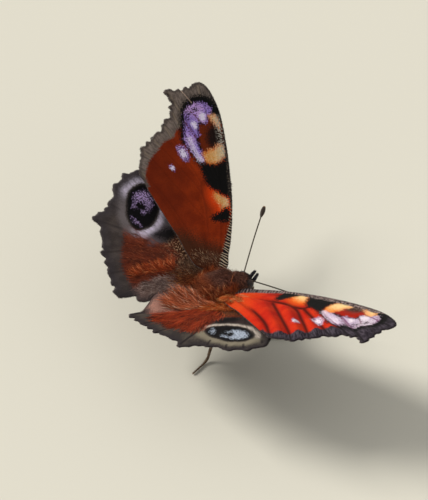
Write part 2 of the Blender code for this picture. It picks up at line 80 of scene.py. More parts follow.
HINDWING_VEINS = [
    [(0.5, 1.5), (1.0, 6.0), (0.1, 11.0), (-3.3, 19.0)],
    [(-0.1, 1.5), (-0.7, 6.0), (-2.2, 11.0), (-6.1, 19.0)],
    [(-1.2, 5.9), (-4.0, 11.0), (-8.2, 17.9)],
    [(-1.8, 6.0), (-5.5, 10.8), (-10.0, 15.8)],
    [(-0.8, 1.6), (-2.6, 3.4), (-3.3, 5.8), (-7.5, 9.8), (-13.2, 14.0)],
    [(-3.3, 5.8), (-8.5, 7.8), (-14.4, 8.9)],
    [(-2.6, 3.4), (-9.0, 5.0), (-14.8, 5.6)],
    [(-1.2, 1.6), (-8.0, 2.2), (-15.0, 1.9)],
    [(-0.7, 6.0), (-1.8, 6.0), (-3.3, 5.8)]]

# forewing markings, in the forewing's own (along, toward the rear) frame
FOREWING_MARKS = {
    "ground": [(24.0, -5.0), (24.9, -2.1), (26.4, -1.1), (26.8, 0.0), (26.4, 2.0), (25.5, 3.0), (24.2, 3.5),
               (22.8, 3.7), (21.7, 4.8), (20.9, 5.2), (20.1, 6.9), (18.8, 8.1), (17.7, 9.3), (16.1, 10.2),
               (14.9, 10.5), (13.3, 10.4), (12.5, 13.0), (-4.0, 8.0), (-3.0, -5.0)],
    "eyespot": [(23.9, -2.7), (24.9, -2.1), (25.6, -1.7), (26.4, -1.1), (26.8, 0.0), (26.7, 1.0),
                (26.4, 2.0), (25.5, 3.0), (24.2, 3.5), (21.8, 3.9), (20.4, 4.0), (19.4, 3.6), (17.8, 2.6),
                (16.8, 2.2), (16.6, 1.4), (17.3, 1.0), (18.6, 1.1), (20.5, 1.4), (22.3, 0.9), (22.5, 0.0),
                (23.4, -0.8), (23.7, -1.6), (23.3, -2.4)],
    "violet": [(24.8, -1.2), (24.1, -0.9), (23.6, -0.5), (23.0, -0.3), (22.6, 0.2), (22.7, 1.1), (21.0, 1.4),
               (20.5, 1.8), (18.6, 1.4), (18.1, 1.2), (17.4, 1.0), (16.7, 1.5), (17.0, 2.1), (17.9, 2.5),
               (19.5, 3.5), (20.5, 3.9), (21.1, 3.6), (24.5, 3.0), (25.4, 2.5), (25.7, 1.8), (26.0, 0.8),
               (25.9, 0.0), (25.5, -0.7)],
    "cream_outer": [(24.1, -1.1), (24.0, -1.5), (23.5, -1.9), (22.8, -2.1), (22.1, -2.1), (21.7, -1.9),
                    (22.2, -1.5), (22.9, -1.0), (23.4, -0.6), (23.7, -0.5)],
    "cream_inner": [(18.2, 1.3), (18.5, 0.6), (18.9, 0.1), (18.9, -0.5), (19.3, -1.0), (19.5, -1.6),
                    (19.2, -2.2), (18.4, -2.4), (17.8, -2.3), (17.2, -1.7), (16.6, -0.9), (16.5, 0.1),
                    (16.8, 1.0), (17.5, 1.3)],
    "core": [(23.5, -0.5), (22.6, 0.2), (22.5, 1.1), (20.9, 1.35), (18.7, 1.25), (18.1, 1.1), (18.6, 0.3),
             (18.8, -0.4), (19.3, -1.0), (19.5, -2.3), (21.9, -2.3), (22.3, -1.4), (22.9, -0.9)],
    "core_shade": [(21.9, -0.7), (22.3, -1.5), (21.3, -2.0), (20.0, -2.2), (19.3, -1.6), (19.1, -0.7),
                   (19.8, 0.0), (21.0, -0.1)],
    "patch_outer": [(16.8, 2.1), (16.7, 1.0), (16.4, 0.1), (16.6, -0.9), (17.1, -1.7), (17.7, -2.4),
                    (17.0, -3.0), (11.2, -3.0), (11.0, -1.9), (11.7, -0.7), (12.3, 0.2), (12.9, 1.1),
                    (13.6, 1.5), (14.7, 1.8), (15.8, 2.0)],
    "patch_inner": [(9.9, -1.1), (9.0, -1.3), (7.7, -0.9), (7.6, 0.3), (7.8, 1.4), (8.2, 1.8), (8.7, 1.5),
                    (9.1, 0.6), (9.6, -0.4)],
    "cream_middle": [(12.3, 0.6), (12.1, 0.0), (11.7, -0.5), (11.4, -1.1), (11.0, -1.4), (10.0, -1.3),
                     (9.7, -0.6), (9.4, 0.1), (10.1, 0.0), (10.5, 0.4), (11.4, 0.8)],
    "streak": [(20.7, 3.2), (20.6, 2.7), (19.3, 2.2), (18.1, 1.9), (17.5, 1.3), (16.9, 1.5), (17.0, 2.1),
               (18.0, 2.5), (19.1, 2.9)],
    "spot_near": [(19.3, 5.2), (19.6, 4.7), (19.4, 3.9), (18.6, 3.5), (17.7, 3.4), (17.1, 3.6), (17.1, 4.3),
                  (17.8, 4.8)],
    "spot_far": [(16.6, 6.7), (16.7, 6.3), (16.0, 5.9), (15.6, 6.0), (15.8, 6.4)],
    "costal_strip": [(-1.0, 2.6), (1.9, 1.9), (3.7, 1.1), (5.5, 0.3), (7.0, -0.35), (9.0, -1.05),
                     (11.0, -1.3), (14.0, -1.6), (17.0, -1.85), (20.0, -2.0), (22.0, -2.1), (24.0, -2.1),
                     (24.0, -4.0), (-1.0, -4.0)],
    "root": [(-2.0, 0.0), (1.9, 1.0), (3.2, 1.6), (3.6, 3.0), (4.4, 4.6), (5.4, 6.4), (5.0, 9.0),
             (-3.0, 9.0)]}
FOREWING_WHITES = [(23.9, 0.4, 0.42), (23.5, 0.42, 0.36), (22.7, 1.9, 0.36), (22.3, 1.75, 0.28),
                   (18.2, 4.2, 0.4), (18.6, 4.35, 0.32), (16.15, 6.25, 0.26)]
FOREWING_SPECKS = [(24.9, 1.3, 0.24), (24.75, 1.55, 0.16), (24.3, 2.45, 0.2), (23.9, 2.6, 0.14),
                   (23.4, 2.5, 0.12)]
FOREWING_RAYS = [[(22.9, 3.1), (21.4, 2.3), (20.0, 1.6)], [(24.6, 2.0), (23.5, 1.2), (22.4, 0.4)]]
FOREWING_FAN = (8.0, -1.0)
HINDWING_FAN = (0.5, 0.5)
FOREWING_FOLD = [(27.8, 3.0), (26.6, 2.2), (25.9, 1.7)]

# hindwing markings, in the hindwing's own (forward, outward) frame
HINDWING_MARKS = {
    "oval": [(-4.3, 17.5), (-3.3, 17.1), (-3.0, 16.2), (-3.0, 15.1), (-3.2, 13.8), (-4.0, 12.6),
             (-5.0, 11.7), (-6.1, 11.2), (-7.4, 11.1), (-8.1, 11.6), (-8.3, 12.9), (-7.8, 14.3),
             (-6.9, 16.0), (-5.9, 17.0)],
    "violet": [(-5.6, 16.6), (-4.1, 16.7), (-3.6, 16.2), (-3.5, 14.9), (-4.1, 13.8), (-4.9, 13.4),
               (-5.1, 14.7), (-5.6, 15.1), (-6.2, 15.1), (-6.6, 14.2), (-7.0, 14.5), (-6.3, 15.6)],
    "streak": [(-7.7, 13.1), (-7.5, 12.7), (-7.1, 12.0), (-7.1, 11.4), (-7.5, 12.0), (-7.9, 12.4)],
    "blotch": [(-5.9, 9.8), (-4.4, 10.1), (-3.3, 10.3), (-2.4, 9.7), (-2.7, 8.5), (-4.1, 8.3), (-5.4, 8.9)],
    "disc": [(-9.3, 11.8), (-9.9, 11.3), (-10.7, 9.9), (-12.2, 7.3), (-12.8, 5.4), (-12.7, 3.4),
             (-12.3, 1.2), (-10.6, 0.6), (-7.0, 0.8), (-3.5, 1.0), (0.0, 1.6), (0.6, 5.0), (0.2, 9.0),
             (-1.6, 9.2), (-4.7, 7.8), (-6.4, 9.3), (-7.6, 10.9)],
    "fold": [(-12.8, 1.6), (-11.6, 2.5), (-8.0, 2.6), (-4.0, 2.1), (-1.0, 1.2), (-1.0, -1.0), (-12.8, -1.0)],
    "root": [(2.0, 8.0), (-0.5, 8.6), (-3.4, 8.0), (-5.6, 6.6), (-6.6, 4.6), (-5.4, 2.8), (-2.0, 1.6),
             (2.0, 0.0)]}
HINDWING_WHITES = [(-5.8, 13.4, 0.16)]

OVAL_CENTRE = (-5.6, 14.2)
OVAL_ACROSS = (0.83, -0.56)
OVAL_ALONG = (0.56, 0.83)
OVAL_END = {1: 1.4, -1: 6.0}
# how far the eyespot reaches from its centre to its inner end, and the share of it that each side leaves out
OVAL_REACH = 3.8
OVAL_TRIM = {1: 0.0, -1: 0.085}

# wing surface
WING_CELL = 0.14
OUTLINE_STEP = 0.3
SIDE_STEP = 0.1
# the teeth of the outer margin: the larger at the veins' ends and the smaller at even steps
TOOTH_HEIGHT = 0.34
TOOTH_WIDTH = 0.24
SMALL_TOOTH = 0.24
SMALL_TOOTH_SINK = 0.3
TOOTH_SPACING = 1.3
WING_THICKNESS = 0.16
VEIN_RIDGE = {1: 0.045, -1: 0.03}
VEIN_RIDGE_WIDTH = 0.13
CELL_PILLOW = {("forewing", 1): 0.14, ("forewing", -1): 0.62, ("hindwing", 1): 0.14, ("hindwing", -1): 0.1}
CELL_PILLOW_WIDTH = 1.3
CELL_PILLOW_FRONT = (1.6, 3.4)
CELL_PILLOW_EDGE = 1.2
RIDGE_EDGE = (0.1, 0.6)
# how far out a wing's camber and the change of its twist are given
TWIST_REACH = 20
# the outer margin: where the teeth begin along each wing and behind its front edge or outside its inner one
FOREWING_MARGIN = ((14.0, 16.0), (0.4, 1.4))
HINDWING_MARGIN = ((3.0, 4.5), (1.2, 2.4))
# how far past the edge a cell of the membrane may reach before it is left out
CELL_OVERLAP = 0.3
# how much the turn round a fan's centre counts beside the way out from it
FAN_SCALE = 16
# the hindwing's inner edge stands up beside the abdomen between these places along it
FOLD_RISE = {1: 0.0, -1: 2.2}
FOLD_STEEPNESS = 1.4
FOLD_REAR = (-12.9, -9.6)
FOLD_FRONT = (-7.0, -1.5)
FOLD_INNER = (0.2, 3.4)

# body: each station is its place along the body, half width, half height and middle height
BODY_STATIONS = [
    (1.78, 0.0, 0.0, -0.8), (1.68, 0.42, 0.44, -0.8), (1.3, 0.86, 0.92, -0.78), (0.7, 1.04, 1.08, -0.75),
    (0.1, 1.0, 1.04, -0.73), (-0.35, 0.92, 0.96, -0.7), (-0.9, 1.3, 1.35, -0.65), (-1.7, 1.9, 1.95, -0.6),
    (-3.1, 2.2, 2.25, -0.6), (-4.6, 1.95, 2.0, -0.62), (-5.7, 1.5, 1.55, -0.66), (-6.4, 1.28, 1.32, -0.7),
    (-7.4, 1.45, 1.45, -0.72), (-9.0, 1.62, 1.62, -0.62), (-10.6, 1.66, 1.66, -0.5),
    (-12.4, 1.5, 1.5, -0.36), (-14.0, 1.16, 1.16, -0.23), (-15.1, 0.7, 0.7, -0.15),
    (-15.55, 0.35, 0.35, -0.11), (-15.75, 0.0, 0.0, -0.1)]
# the abdomen's segments, narrowed where they meet
SEGMENT_START = -6.6
SEGMENT_LENGTH = 1.15
SEGMENT_DEPTH = 0.07
SEGMENT_SHARPNESS = 10
BODY_STEP = 0.15
# the skin's faces round and along the body, and how much they crowd toward its ends
SKIN_AROUND = 72
SKIN_ALONG = 220
END_CROWDING = 0.12

# eyes, antennae, palps and tongue
EYE_CENTRE = (0.95, 0.95, -0.7)
EYE_RADII = (0.78, 0.62, 0.82)
EYE_MESH = (48, 32)
ANTENNA_ROOT = (0.75, 0.3, -0.05)
ANTENNA_REACH = {1: (9.25, 9.75, 1.2), -1: (9.0, 9.5, -2.5)}
ANTENNA_BOW = {1: 0.45, -1: 0.3}
ANTENNA_RADIUS = 0.095
ANTENNA_RINGS = 46
CLUB_RADIUS = 0.34
CLUB_SHARE = 0.17
# how much of a half turn the club's swelling takes, and how blunt it is
CLUB_CLOSING = 0.9
CLUB_BLUNTNESS = 0.8
# how far the rings swell, and over what share of the club they end
RING_SWELL = 0.1
RING_END = (0.0, 0.3)
# how many sides the limbs have
LIMB_SIDES = {"antenna": 14, "palp": 18, "tongue": 14, "leg": 12}
PALP_PATH = [(1.2, 0.36, -1.1), (1.9, 0.42, -0.95), (2.4, 0.4, -0.5), (2.77, 0.36, -0.07)]
PALP_RADII = [0.2, 0.22, 0.16, 0.06]
PALP_STEP = 0.08
# how far a palp narrows at its root and at its tip
PALP_ENDS = (0.8, 0.4)
# how far out in a limb its hair is rooted, and the hair's length, width and lift
HAIR_DEPTH = 0.9
PALP_HAIR = (0.4, 0.04, 0.1)
FORELEG_HAIR = (0.5, 0.035, 0.16)
LEG_HAIR = (0.28, 0.035, 0.16)
LIMB_SPREAD = 0.15
TONGUE_CENTRE = (1.75, 0.0, -2.2)
TONGUE_RADII = (0.2, 0.9)
TONGUE_TURNS = 1.3
TONGUE_START = 200.0
TONGUE_THICKNESS = 0.13
TONGUE_TAPER = 0.35
TONGUE_RINGS = 40
TONGUE_RING_DEPTH = 0.05
TONGUE_STEPS = 120

# legs, each as its hip, knee, ankle and the two ends of its foot
FORELEG_PATH = [(-0.9, 0.75, -2.2), (0.5, 1.5, -3.1), (1.35, 1.05, -2.5), (1.7, 0.75, -1.9)]
FORELEG_RADII = [0.28, 0.26, 0.2, 0.1]
MIDLEG_PATH = [(-2.3, 0.9, -2.2), (-0.4, 4.0, -3.2), (1.2, 5.6, -7.0), (1.9, 6.2, -7.32), (3.9, 7.6, -7.32)]
HINDLEG_PATH = [(-4.4, 0.9, -2.2), (-6.0, 4.0, -3.1), (-8.3, 5.4, -7.0), (-9.1, 5.8, -7.32),
                (-11.6, 6.8, -7.32)]
WALKING_RADII = [0.36, 0.27, 0.18, 0.14, 0.1]
# each leg's name, path and thickness, and how many hairs it has and of what form
LEGS = (("foreleg", FORELEG_PATH, FORELEG_RADII, 800, FORELEG_HAIR),
        ("midleg", MIDLEG_PATH, WALKING_RADII, 500, LEG_HAIR),
        ("hindleg", HINDLEG_PATH, WALKING_RADII, 500, LEG_HAIR))
LEG_STEPS = 14
# how far a foot narrows at the joints of its segments, and how far the other parts of a leg swell
FOOT_SEGMENTS = 5
FOOT_NARROWING = 0.3
FOOT_SHARPNESS = 6
FOOT_TIP = 0.6
LEG_SWELL = 0.12
FLOOR_LEVEL = -7.5
# below this height over the floor the legs have no hair underneath
HAIRLESS_HEIGHT = 0.7

# camera and light
CAMERA_AZIMUTH = -30.0
CAMERA_ELEVATION = 44.0
CAMERA_DISTANCE = 600.0
PIXELS_PER_MM = 7.054
BODY_IN_PICTURE = (239.5, 279.0)
PICTURE = (428, 500)
SENSOR = 36.0
CLIP = (0.01, 20.0)
FLOOR_REACH = 1.5
KEY_DIRECTION = (-0.47, 0.68, 0.56)
KEY_STRENGTH = 3.6
KEY_SPREAD = 22
SKY_STRENGTH = 0.55

SEED = 11


# numbers and lines

def tone(red, green, blue):
    """A colour given in screen values, as light values."""
    shares = (red / 255, green / 255, blue / 255)
    return tuple(c / 12.92 if c <= 10 / 255 else ((c + 0.055) / 1.055) ** 2.4 for c in shares)


def place(points, side=1):
    """Points of the body's frame in the model's frame, in metres, on the left or the right side."""
    points = np.atleast_2d(np.asarray(points, float))
    return (points * (1, side, 1) + BODY_ORIGIN) * MM


def smooth_line(points, step, closed=False):
    """Points along a smooth curve through the given ones, about a step apart."""
    knots = np.asarray(points, float)
    if closed:
        knots = np.vstack([knots[-1], knots, knots[:2]])
    else:
        knots = np.vstack([2 * knots[0] - knots[1], knots, 2 * knots[-1] - knots[-2]])
    line = [knots[1]]
    for before, start, end, after in zip(knots, knots[1:], knots[2:], knots[3:]):
        pieces = max(1, round(np.linalg.norm(end - start) / step))
        for t in np.arange(1, pieces + 1) / pieces:
            bend = 2 * before - 5 * start + 4 * end - after
            turn = 3 * start - before - 3 * end + after
            line.append(0.5 * (2 * start + (end - before) * t + bend * t ** 2 + turn * t ** 3))
    return np.array(line[:-1] if closed else line)


def distance_to_line(points, line):
    """The distance from each flat point to a line through its knots."""
    nearest = np.full(len(points), 1e9)
    for a, b in zip(line, line[1:]):
        run = b - a
        share = np.clip(((points - a) @ run) / max(run @ run, 1e-12), 0, 1)
        nearest = np.minimum(nearest, np.linalg.norm(points - a - share[:, None] * run, axis=1))
    return nearest


def depth_inside(points, outline):
    """How deep each flat point lies inside a closed line, below zero outside it."""
    ring = np.vstack([outline, outline[:1]])
    crossings = np.zeros(len(points), int)
    for a, b in zip(ring, ring[1:]):
        spans = (a[1] > points[:, 1]) != (b[1] > points[:, 1])
        rise = b[1] - a[1] if b[1] != a[1] else 1e-12
        crossings += spans & (points[:, 0] < a[0] + (points[:, 1] - a[1]) / rise * (b[0] - a[0]))
    return np.where(crossings % 2 == 1, 1, -1) * distance_to_line(points, ring)


def unit(vectors):
    """Each row at a length of one."""
    return vectors / np.linalg.norm(vectors, axis=1)[:, None]


def ease_in(values, low, high):
    """0 at the low value, 1 at the high one, with an even turn between them."""
    share = np.clip((values - low) / (high - low), 0, 1)
    return share * share * (3 - 2 * share)


# finishes

# the height of the grain that single scales make, in metres, and of the eye's facets
GRAIN_BUMP = 0.00003
FACET_BUMP = 0.00004
# the shade between two scales
GRAIN_SHADE = (0.3, 0.3, 0.3)


class Finish:
    """One procedural finish, built up from named steps."""

    def __init__(self, name, roughness, specular):
        self.material = bpy.data.materials.new(name)
        self.material.use_nodes = True
        self.tree = self.material.node_tree
        self.shader = self.tree.nodes["Principled BSDF"]
        self.shader.inputs["Roughness"].default_value = roughness
        self.shader.inputs["Specular IOR Level"].default_value = specular
        self.colour = (0.0, 0.0, 0.0)

    def step(self, kind, inputs=(), output=0, **settings):
        """Adds one node, sets it up and returns its output."""
        node = self.tree.nodes.new(kind)
        for key, value in settings.items():
            setattr(node, key, value)
        for socket, value in dict(inputs).items():
            if isinstance(value, bpy.types.NodeSocket):
                self.tree.links.new(value, node.inputs[socket])
            else:
                node.inputs[socket].default_value = value
        return node.outputs[output]

    def number(self, name):
        return self.step("ShaderNodeAttribute", output="Fac", attribute_name=name)

    def direction(self, name):
        return self.step("ShaderNodeAttribute", output="Vector", attribute_name=name)

    def object_place(self, scale=(1.0, 1.0, 1.0)):
        place_here = self.step("ShaderNodeTexCoord", output="Object")
        return self.step("ShaderNodeMapping", {"Vector": place_here, "Scale": scale})

    def mark(self, name, low, high, jitter=None):
        """How much of a marking shows, from a kept number that a jitter roughens."""
        depth = self.number(name)
        return self.fade(depth if jitter is None else self.plus(depth, jitter), low, high)

    def ragged(self, name, jitter, soft, grown=0.0):
        """A marking's mask, with the ragged edge that single scales give it."""
        return self.mark(name, grown - soft, grown + soft, jitter)

    def jitter(self, plan, fine=0.8, coarse=0.16):
        """An uneven number about zero, of small scales over broader waves."""
        small = self.times(self.maths("SUBTRACT", self.noise(plan, 5.5, 0.0), 0.5), fine * 2)
        large = self.times(self.maths("SUBTRACT", self.noise(plan, 1.3, 2.0), 0.5), coarse * 2)
        return self.plus(small, large)

    def scale_grain(self, plan):
        """The fine rows of scales, as light and dark grains."""
        return self.fade(self.noise(self.stretched(plan, (1.0, 0.55, 1.0)), 9.0, 2.0, 0.7), 0.3, 0.7)

    def millimetres(self):
        return self.object_place((1 / MM,) * 3)

    def maths(self, operation, first, second=0.0):
        return self.step("ShaderNodeMath", {0: first, 1: second}, operation=operation)

    def times(self, product, *factors):
        for factor in factors:
            product = self.maths("MULTIPLY", product, factor)
        return product

    def plus(self, first, second):
        return self.maths("ADD", first, second)

    def rest_of(self, share):
        return self.maths("SUBTRACT", 1.0, share)

    def stretched(self, vector, scale, turn=0.0):
        """A vector turned first and then scaled along its new axes."""
        return self.step("ShaderNodeMapping", {"Vector": vector, "Scale": tuple(1 / s for s in scale),
                                               "Rotation": (0.0, 0.0, turn)}, vector_type="TEXTURE")

    def noise(self, vector, scale, detail=2.0, roughness=0.5):
        return self.step("ShaderNodeTexNoise", {"Vector": vector, "Scale": scale, "Detail": detail,
                                                "Roughness": roughness})

    def waves(self, vector, scale, distortion, detail, detail_scale):
        return self.step("ShaderNodeTexWave", {"Vector": vector, "Scale": scale, "Distortion": distortion,
                                               "Detail": detail, "Detail Scale": detail_scale}, output="Fac")

    def fade(self, value, low, high):
        """0 at the low value, 1 at the high one, with an even turn between them."""
        return self.step("ShaderNodeMapRange", {"Value": value, "From Min": low, "From Max": high},
                         interpolation_type="SMOOTHSTEP")

    def mix(self, under, over, *shares):
        """One colour over another, as strongly as the shares together say."""
        return self.blend(under, over, self.times(*shares))

    def blend(self, under, over, share, how="MIX"):
        """One colour over another, where the share says so."""
        node = self.tree.nodes.new("ShaderNodeMix")
        node.data_type = "RGBA"
        node.blend_type = how
        for index, value in ((0, share), (6, under), (7, over)):
            if isinstance(value, bpy.types.NodeSocket):
                self.tree.links.new(value, node.inputs[index])
            else:
                node.inputs[index].default_value = (*value, 1.0)
        return node.outputs[2]

    def cover(self, over, *shares, how="MIX"):
        """Lays a colour over the one so far, as strongly as the shares together say."""
        self.colour = self.blend(self.colour, over, self.times(*shares), how)

    def done(self, colour, height=None, bump=GRAIN_BUMP, strength=1.0):
        self.tree.links.new(colour, self.shader.inputs["Base Color"])
        if height is not None:
            normal = self.step("ShaderNodeBump", {"Height": height, "Distance": bump, "Strength": strength})
            self.tree.links.new(normal, self.shader.inputs["Normal"])
        return self.material


# the wings' colours on the shaded left and the sunlit right, darker or brighter partly as painted light

# the left forewing's darker ground holds painted shade and the right's brighter ground painted sunlight
FOREWING_TONES = {
    1: {"ground": (tone(126, 38, 4), tone(150, 50, 8)), "vein": tone(80, 24, 6), "vein_width": 0.16,
        "vein_share": 0.3, "root": tone(56, 36, 20), "glow": tone(232, 70, 10),
        "margin": (tone(100, 89, 83), tone(128, 115, 107)), "margin_rays": 0.4, "streak": 0.75,
        "rim_fade": -0.7, "core": tone(112, 40, 8), "core_shade": tone(22, 16, 14),
        "violet": (tone(162, 134, 220), tone(212, 174, 236)), "violet_dots": tone(56, 30, 70),
        "dot_level": 0.6, "cream": tone(224, 158, 80), "pale_cream": tone(234, 212, 168),
        "white": tone(240, 230, 255), "bars": tone(206, 188, 160), "far_bars": 0.15, "strip": 0.28,
        "fold": tone(208, 180, 160), "rays": tone(150, 134, 112), "rear_shade": 0.5, "grown": 0.0,
        "fleck_form": (1.0, 1.0, 1.0), "strip_far": 0.1, "shade_grown": -0.4, "pale_from": 0.6,
        "pale_to": -2.2, "frost": 0.85, "root_dim": 0.0},
    -1: {"ground": (tone(180, 26, 4), tone(200, 46, 8)), "vein": tone(62, 8, 3), "vein_width": 0.55,
         "vein_share": 0.95, "streak": 0.5, "root": tone(204, 66, 16), "glow": tone(240, 104, 22),
         "margin": (tone(42, 36, 44), tone(72, 64, 74)), "margin_rays": 0.9, "rim_fade": -0.75,
         "core": tone(160, 26, 4), "core_shade": tone(88, 70, 60),
         "violet": (tone(196, 178, 204), tone(226, 214, 226)), "violet_dots": tone(130, 86, 118),
         "dot_level": 0.59, "cream": tone(232, 142, 52), "pale_cream": tone(240, 212, 150),
         "white": tone(232, 218, 230), "bars": tone(186, 164, 158), "far_bars": 0.75, "strip": -0.25,
         "fold": tone(64, 52, 56), "rays": tone(24, 20, 24), "rear_shade": 0.0, "grown": -0.3,
         "fleck_form": (1.7, 0.5, 1.0), "strip_far": 0.2, "shade_grown": 0.0, "pale_from": 1.5,
         "pale_to": -0.9, "frost": 0.5, "root_dim": 0.6}}
HINDWING_TONES = {
    1: {"ground": (tone(68, 60, 57), tone(86, 77, 73)), "edge": tone(60, 55, 58), "veins": 0.2,
        "disc": (tone(108, 48, 30), tone(134, 60, 37)), "root": tone(214, 170, 132),
        "fold": tone(172, 142, 132), "band": tone(122, 114, 116), "bright_band": tone(238, 228, 252),
        "beyond": tone(108, 98, 104), "violet": tone(214, 186, 246), "dots": 1.0, "dot_rise": 0.1,
        "edge_width": 2.0, "bright_from": -1.6, "bright_reach": -2.1},
    -1: {"ground": (tone(54, 48, 46), tone(76, 69, 62)), "edge": tone(44, 39, 42), "veins": 0.75,
         "disc": (tone(112, 34, 12), tone(150, 54, 22)), "root": tone(120, 66, 32),
         "fold": tone(166, 124, 110), "band": tone(134, 126, 108), "bright_band": tone(196, 184, 172),
         "beyond": tone(52, 38, 38), "violet": tone(190, 204, 222), "dots": 0.9, "dot_rise": 0.02,
         "edge_width": 1.25, "bright_from": -0.3, "bright_reach": -1.5}}


# wings

def forewing_flat(points):
    """(along, toward the rear) pairs as (forward, outward) from the hinge."""
    spread = math.radians(FOREWING_SPREAD)
    turn = np.array([[math.cos(spread), math.sin(spread)], [-math.sin(spread), math.cos(spread)]])
    return np.asarray(points, float) @ turn


def forewing_frame(flat):
    """(forward, outward) points as (along, toward the rear) from the hinge."""
    return flat @ forewing_flat(np.eye(2)).T


def wing_height(plan, flat):
    """The height of a wing's middle surface over its plane: its twist, its camber and its raised fold."""
    reach = flat[:, 1] / TWIST_REACH
    height = flat[:, 0] * np.tan(np.radians(plan["twist"] + plan["twist_per_20"] * reach))
    height -= plan["camber"] * reach ** 2
    if plan["name"] == "forewing":
        return height
    forward = flat[:, 0]
    span = ease_in(forward, *FOLD_REAR) * (1 - ease_in(forward, *FOLD_FRONT))
    return height + FOLD_RISE[plan["side"]] * span * (1 - ease_in(flat[:, 1], *FOLD_INNER)) ** FOLD_STEEPNESS


def forewing_plan(side):
    """How a forewing is cut and how it stands."""
    return {
        "name": "forewing", "side": side, "hinge": FOREWING_HINGE, "lift": FOREWING_LIFT, "sweep": 0.0,
        "twist": FOREWING_TWIST, "twist_per_20": FOREWING_TWIST_PER_20, "camber": FOREWING_CAMBER[side],
        "outline": forewing_flat(FOREWING_OUTLINE), "veins": [forewing_flat(v) for v in FOREWING_VEINS]}


def hindwing_plan(side):
    """How a hindwing is cut and how it stands."""
    return {
        "name": "hindwing", "side": side, "hinge": HINDWING_HINGE, "lift": HINDWING_LIFT[side],
        "sweep": HINDWING_SWEEP[side], "twist": HINDWING_TWIST[side],
        "twist_per_20": HINDWING_TWIST_PER_20[side], "camber": HINDWING_CAMBER[side],
        "outline": np.array(HINDWING_OUTLINE), "veins": [np.array(v) for v in HINDWING_VEINS]}


def wing_relief(plan, flat):
    """The raised veins and the swelling of the cells between them, over the wing's middle surface."""
    vein = np.min([distance_to_line(flat, smooth_line(v, OUTLINE_STEP)) for v in plan["veins"]], axis=0)
    edge = depth_inside(flat, plan["edge"])
    ridge = VEIN_RIDGE[plan["side"]] * np.exp(-(vein / VEIN_RIDGE_WIDTH) ** 2) * ease_in(edge, *RIDGE_EDGE)
    swell = CELL_PILLOW[plan["name"], plan["side"]]
    pillow = ease_in(vein, 0.0, CELL_PILLOW_WIDTH) * ease_in(edge, 0.0, CELL_PILLOW_EDGE) - 0.5
    if plan["name"] == "forewing":
        pillow = pillow * ease_in(forewing_frame(flat)[:, 1], *CELL_PILLOW_FRONT)
    return ridge + swell * pillow, vein, edge


def stand_up(plan, flat, height):
    """Points of a flat wing, with their heights over its plane, in the model's frame in metres."""
    lift = math.radians(plan["lift"])
    sweep = math.radians(plan["sweep"])
    forward = flat[:, 0] * math.cos(sweep) + flat[:, 1] * math.sin(sweep)
    outward = flat[:, 1] * math.cos(sweep) - flat[:, 0] * math.sin(sweep)
    risen = np.stack([forward, outward * math.cos(lift) - height * math.sin(lift),
                      outward * math.sin(lift) + height * math.cos(lift)], axis=1)
    return place(risen + np.array(plan["hinge"]), plan["side"])


def wing_point(plan, flat, over=0.0):
    return stand_up(plan, flat, wing_height(plan, flat) + over)


def toothed(plan, edge):
    """The wing's edge with teeth along its outer margin, the larger ones where the veins meet it."""
    if plan["name"] == "forewing":
        (along, behind), (start, inner) = forewing_frame(edge).T, FOREWING_MARGIN
    else:
        (along, behind), (start, inner) = (-edge[:, 0], edge[:, 1]), HINDWING_MARGIN
    outer = ease_in(along, *start) * ease_in(behind, *inner)
    vein = np.min([np.linalg.norm(edge - v[-1], axis=1) for v in plan["veins"]], axis=0)
    run = np.roll(edge, -1, axis=0) - np.roll(edge, 1, axis=0)
    outward = unit(np.stack([run[:, 1], -run[:, 0]], axis=1))
    outward *= -np.sign(np.median(depth_inside(edge + outward * SIDE_STEP, edge)))
    length = np.cumsum(np.linalg.norm(run, axis=1) / 2)
    between = np.abs(length / TOOTH_SPACING % 1.0 - 0.5) * 2
    large = TOOTH_HEIGHT * np.exp(-(vein / TOOTH_WIDTH) ** 2)
    small = SMALL_TOOTH * (between ** 2 - SMALL_TOOTH_SINK)
    return edge + outward * ((large + small) * outer)[:, None]


